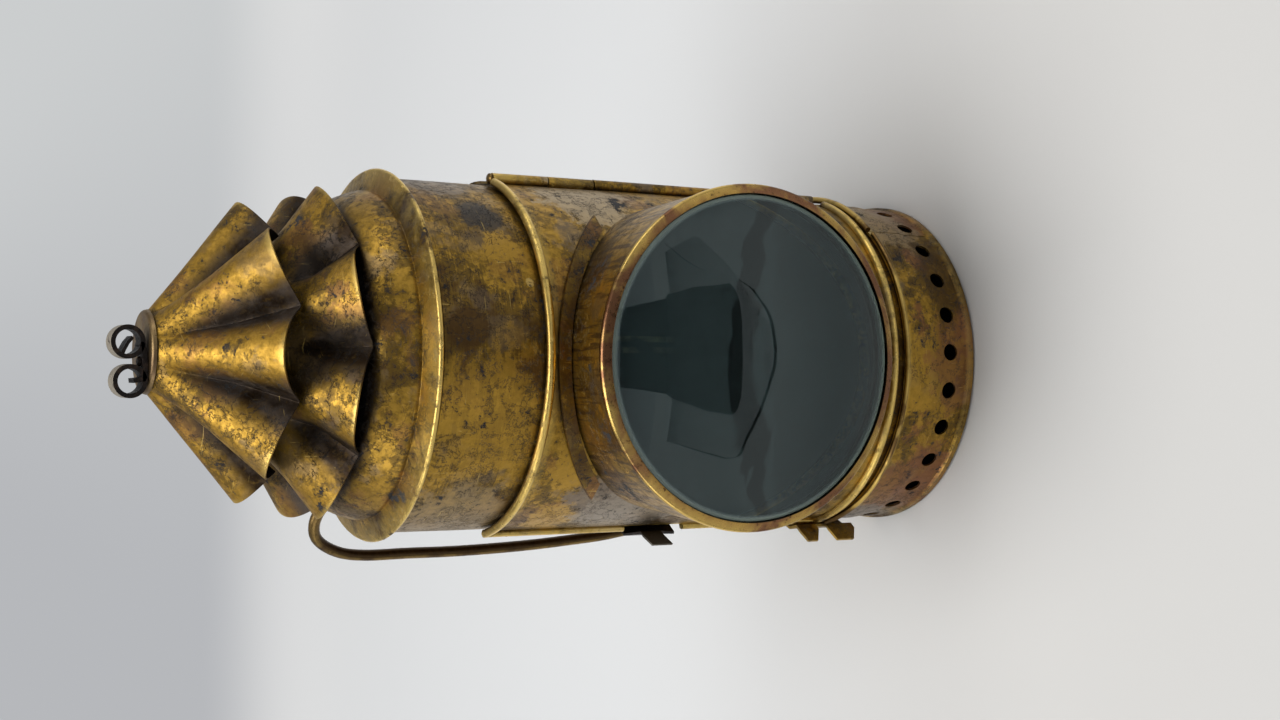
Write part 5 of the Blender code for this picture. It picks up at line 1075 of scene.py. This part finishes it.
def stage_floor():
    """A wide pale floor with painted light and shade. Farther off it glows for the camera as a painted
    backdrop, darker towards -X as painted shade; for metal and glass it glows from close by as a painted
    reflection, darker next to the lantern as painted shadow and in a patch in front of it; and its own
    colour is darker in front of the lantern, as painted shade.
    """
    paint = Paint("floor_paper")
    fade, mix = paint.fade, paint.mix
    across, along = paint.axes()[:2]
    away = paint.away((0.0, 0.0, 0.0))
    seen, mirrored = paint.rays()
    grain = paint.noise(150.0 * MM, 2.0)
    far_floor = mix(grain, (0.665, 0.67, 0.67), (0.68, 0.685, 0.685))
    # Painted shade: the floor's own colour is darker and warmer in front of the lantern than behind it.
    near_floor = mix(grain, (0.595, 0.585, 0.565), (0.605, 0.595, 0.575))
    lit = mix(fade(along, -0.12, 0.16), near_floor, far_floor)
    glow = fade(away, *CAMERA_GLOW) * seen | fade(away, *MIRROR_GLOW) * mirrored
    # Painted backdrop for the camera far off, with painted shade darker towards -X.
    back = mix(fade(across, -0.16, 0.30), (0.455, 0.465, 0.485), (0.585, 0.60, 0.605))
    pale = mix(fade(along, 0.42, 0.66), (0.76, 0.76, 0.755), back)
    # Painted reflection for metal and glass: darker next to the lantern as painted shadow, paler with runs
    # farther off, and darker in a patch in front of it.
    runs = paint.noise(110.0 * MM, 2.0, 0.5, 0.3, (1.0, 4.0, 1.0))
    bright = mix(fade(away, 0.07, 0.18), (0.40, 0.41, 0.41), mix(runs, (0.66, 0.67, 0.67), (1.0, 1.0, 1.0)))
    front = fade(abs(across) + along * 0.66, 0.0, 0.07) * fade(along, 0.0, -0.12)
    bright = mix(front * 0.55, bright, (0.12, 0.13, 0.13))
    pale = mix(mirrored * fade(along, 0.30, 0.0), pale, bright)
    paint.feed(paint.shader, {"Emission Color": pale, "Emission Strength": glow, "Specular IOR Level": 0.2})
    work = bmesh.new()
    bmesh.ops.create_circle(work, cap_ends=True, segments=96, radius=FLOOR_RADIUS)
    staged("floor", moved(work, Matrix.Translation((0.0, 0.0, -FLOOR_DROP))),
           paint.finish(mix(glow, lit, (0.0, 0.0, 0.0)), 0.0, 0.85))


def stage_dark_reflections():
    """Painted dark reflections: sheets lying and standing before the lantern, seen only in its glass and
    metal; the card paints a dark area there, the halo a grey one round it, and the band a dark U-shaped line
    at the halo's edge.
    """
    def row(low, high, y, z, steps):
        return [Vector((low + (high - low) * k / steps, y, z)) for k in range(steps + 1)]

    edge = HALO_LEFT + (HALO_TIP,) + HALO_RIGHT[::-1]
    curve = smooth_curve([Vector((x, y, 2.0 * REFLECTION_LIFT)) for y, x in edge], 6)
    band = [[BAND_CENTRE + (point - BAND_CENTRE) * share for point in curve]
            for share in (1.0, 1.0 + BAND_WIDTH)]
    halo = [row(low, high, y, REFLECTION_LIFT, 8) for (y, low), (_, high) in zip(HALO_LEFT[::-1], HALO_RIGHT[::-1])]
    card = [row(low, high, y, z, 4) for y, z, low, high in CARD]
    for name, rows, tint in (("flag", card, 0.05), ("flag_band", band, 0.04), ("flag_halo", halo, 0.46)):
        work = bmesh.new()
        grid = [[work.verts.new(point) for point in points] for points in rows]
        for near_row, far_row in zip(grid, grid[1:]):
            for k in range(len(near_row) - 1):
                work.faces.new((near_row[k], near_row[k + 1], far_row[k + 1], far_row[k]))
        paint = Paint(name + "_cloth")
        colour = paint.mix(paint.noise(2.0 * MM, 2.0), (tint,) * 3, (1.3 * tint,) * 3)
        flag = staged(name, work, paint.finish(colour, 0.0, 0.95))
        flag.visible_camera = flag.visible_shadow = flag.visible_diffuse = False


def studio_world():
    """Soft grey light all round, with a paler horizon that only the camera, metal and glass see."""
    paint = Paint("studio", "worlds", "Generated", "Background")
    y, z = paint.axes()[1:]
    seen, mirrored = paint.rays()
    height = paint.fade(z, 0.0, 0.35, 1.0, 0.0, "LINEAR")
    tone = paint.fade(y, -0.1, 0.6, 0.48, 0.26, "LINEAR")
    strength = (seen | mirrored) * height * tone + 0.28
    paint.feed(paint.shader, {"Color": (0.95, 0.97, 1.0), "Strength": strength})
    return paint.owner


def light_and_camera():
    scene = bpy.context.scene
    scene.view_settings.view_transform = "Standard"
    scene.world = studio_world()
    for name, place, size, power in (("key", (-0.15, -0.05, 1.2), (1.1, 0.9), 14.0),
                                     ("side_left", (-1.0, -0.3, 0.5), (0.4, 0.8), 2.5),
                                     ("side_right", (1.0, -0.2, 0.6), (0.4, 0.8), 2.3)):
        data = bpy.data.lights.new(name, "AREA")
        data.shape, data.size, data.size_y = "RECTANGLE", *size
        data.energy = power
        lamp = linked(name, data)
        lamp.location = place
        lamp.rotation_euler = (Vector((0.0, 0.0, 0.1)) - Vector(place)).to_track_quat("-Z", "Y").to_euler()
    data = bpy.data.cameras.new("camera")
    data.lens, data.sensor_width, data.clip_start = 48.741, 36.0, 0.01
    camera = linked("camera", data)
    camera.location = (-4.42 * MM, -379.21 * MM, 291.04 * MM)
    camera.rotation_euler = [math.radians(turn) for turn in (1.4573, 60.1383, -88.9615)]
    scene.camera = camera


make_case()
make_sill()
make_hinge()
make_door()
make_barrel()
make_glass()
make_cap()
make_crowns()
make_finial()
make_catches()
make_handles()
dress_inner_nodes()
stage_floor()
stage_dark_reflections()
light_and_camera()
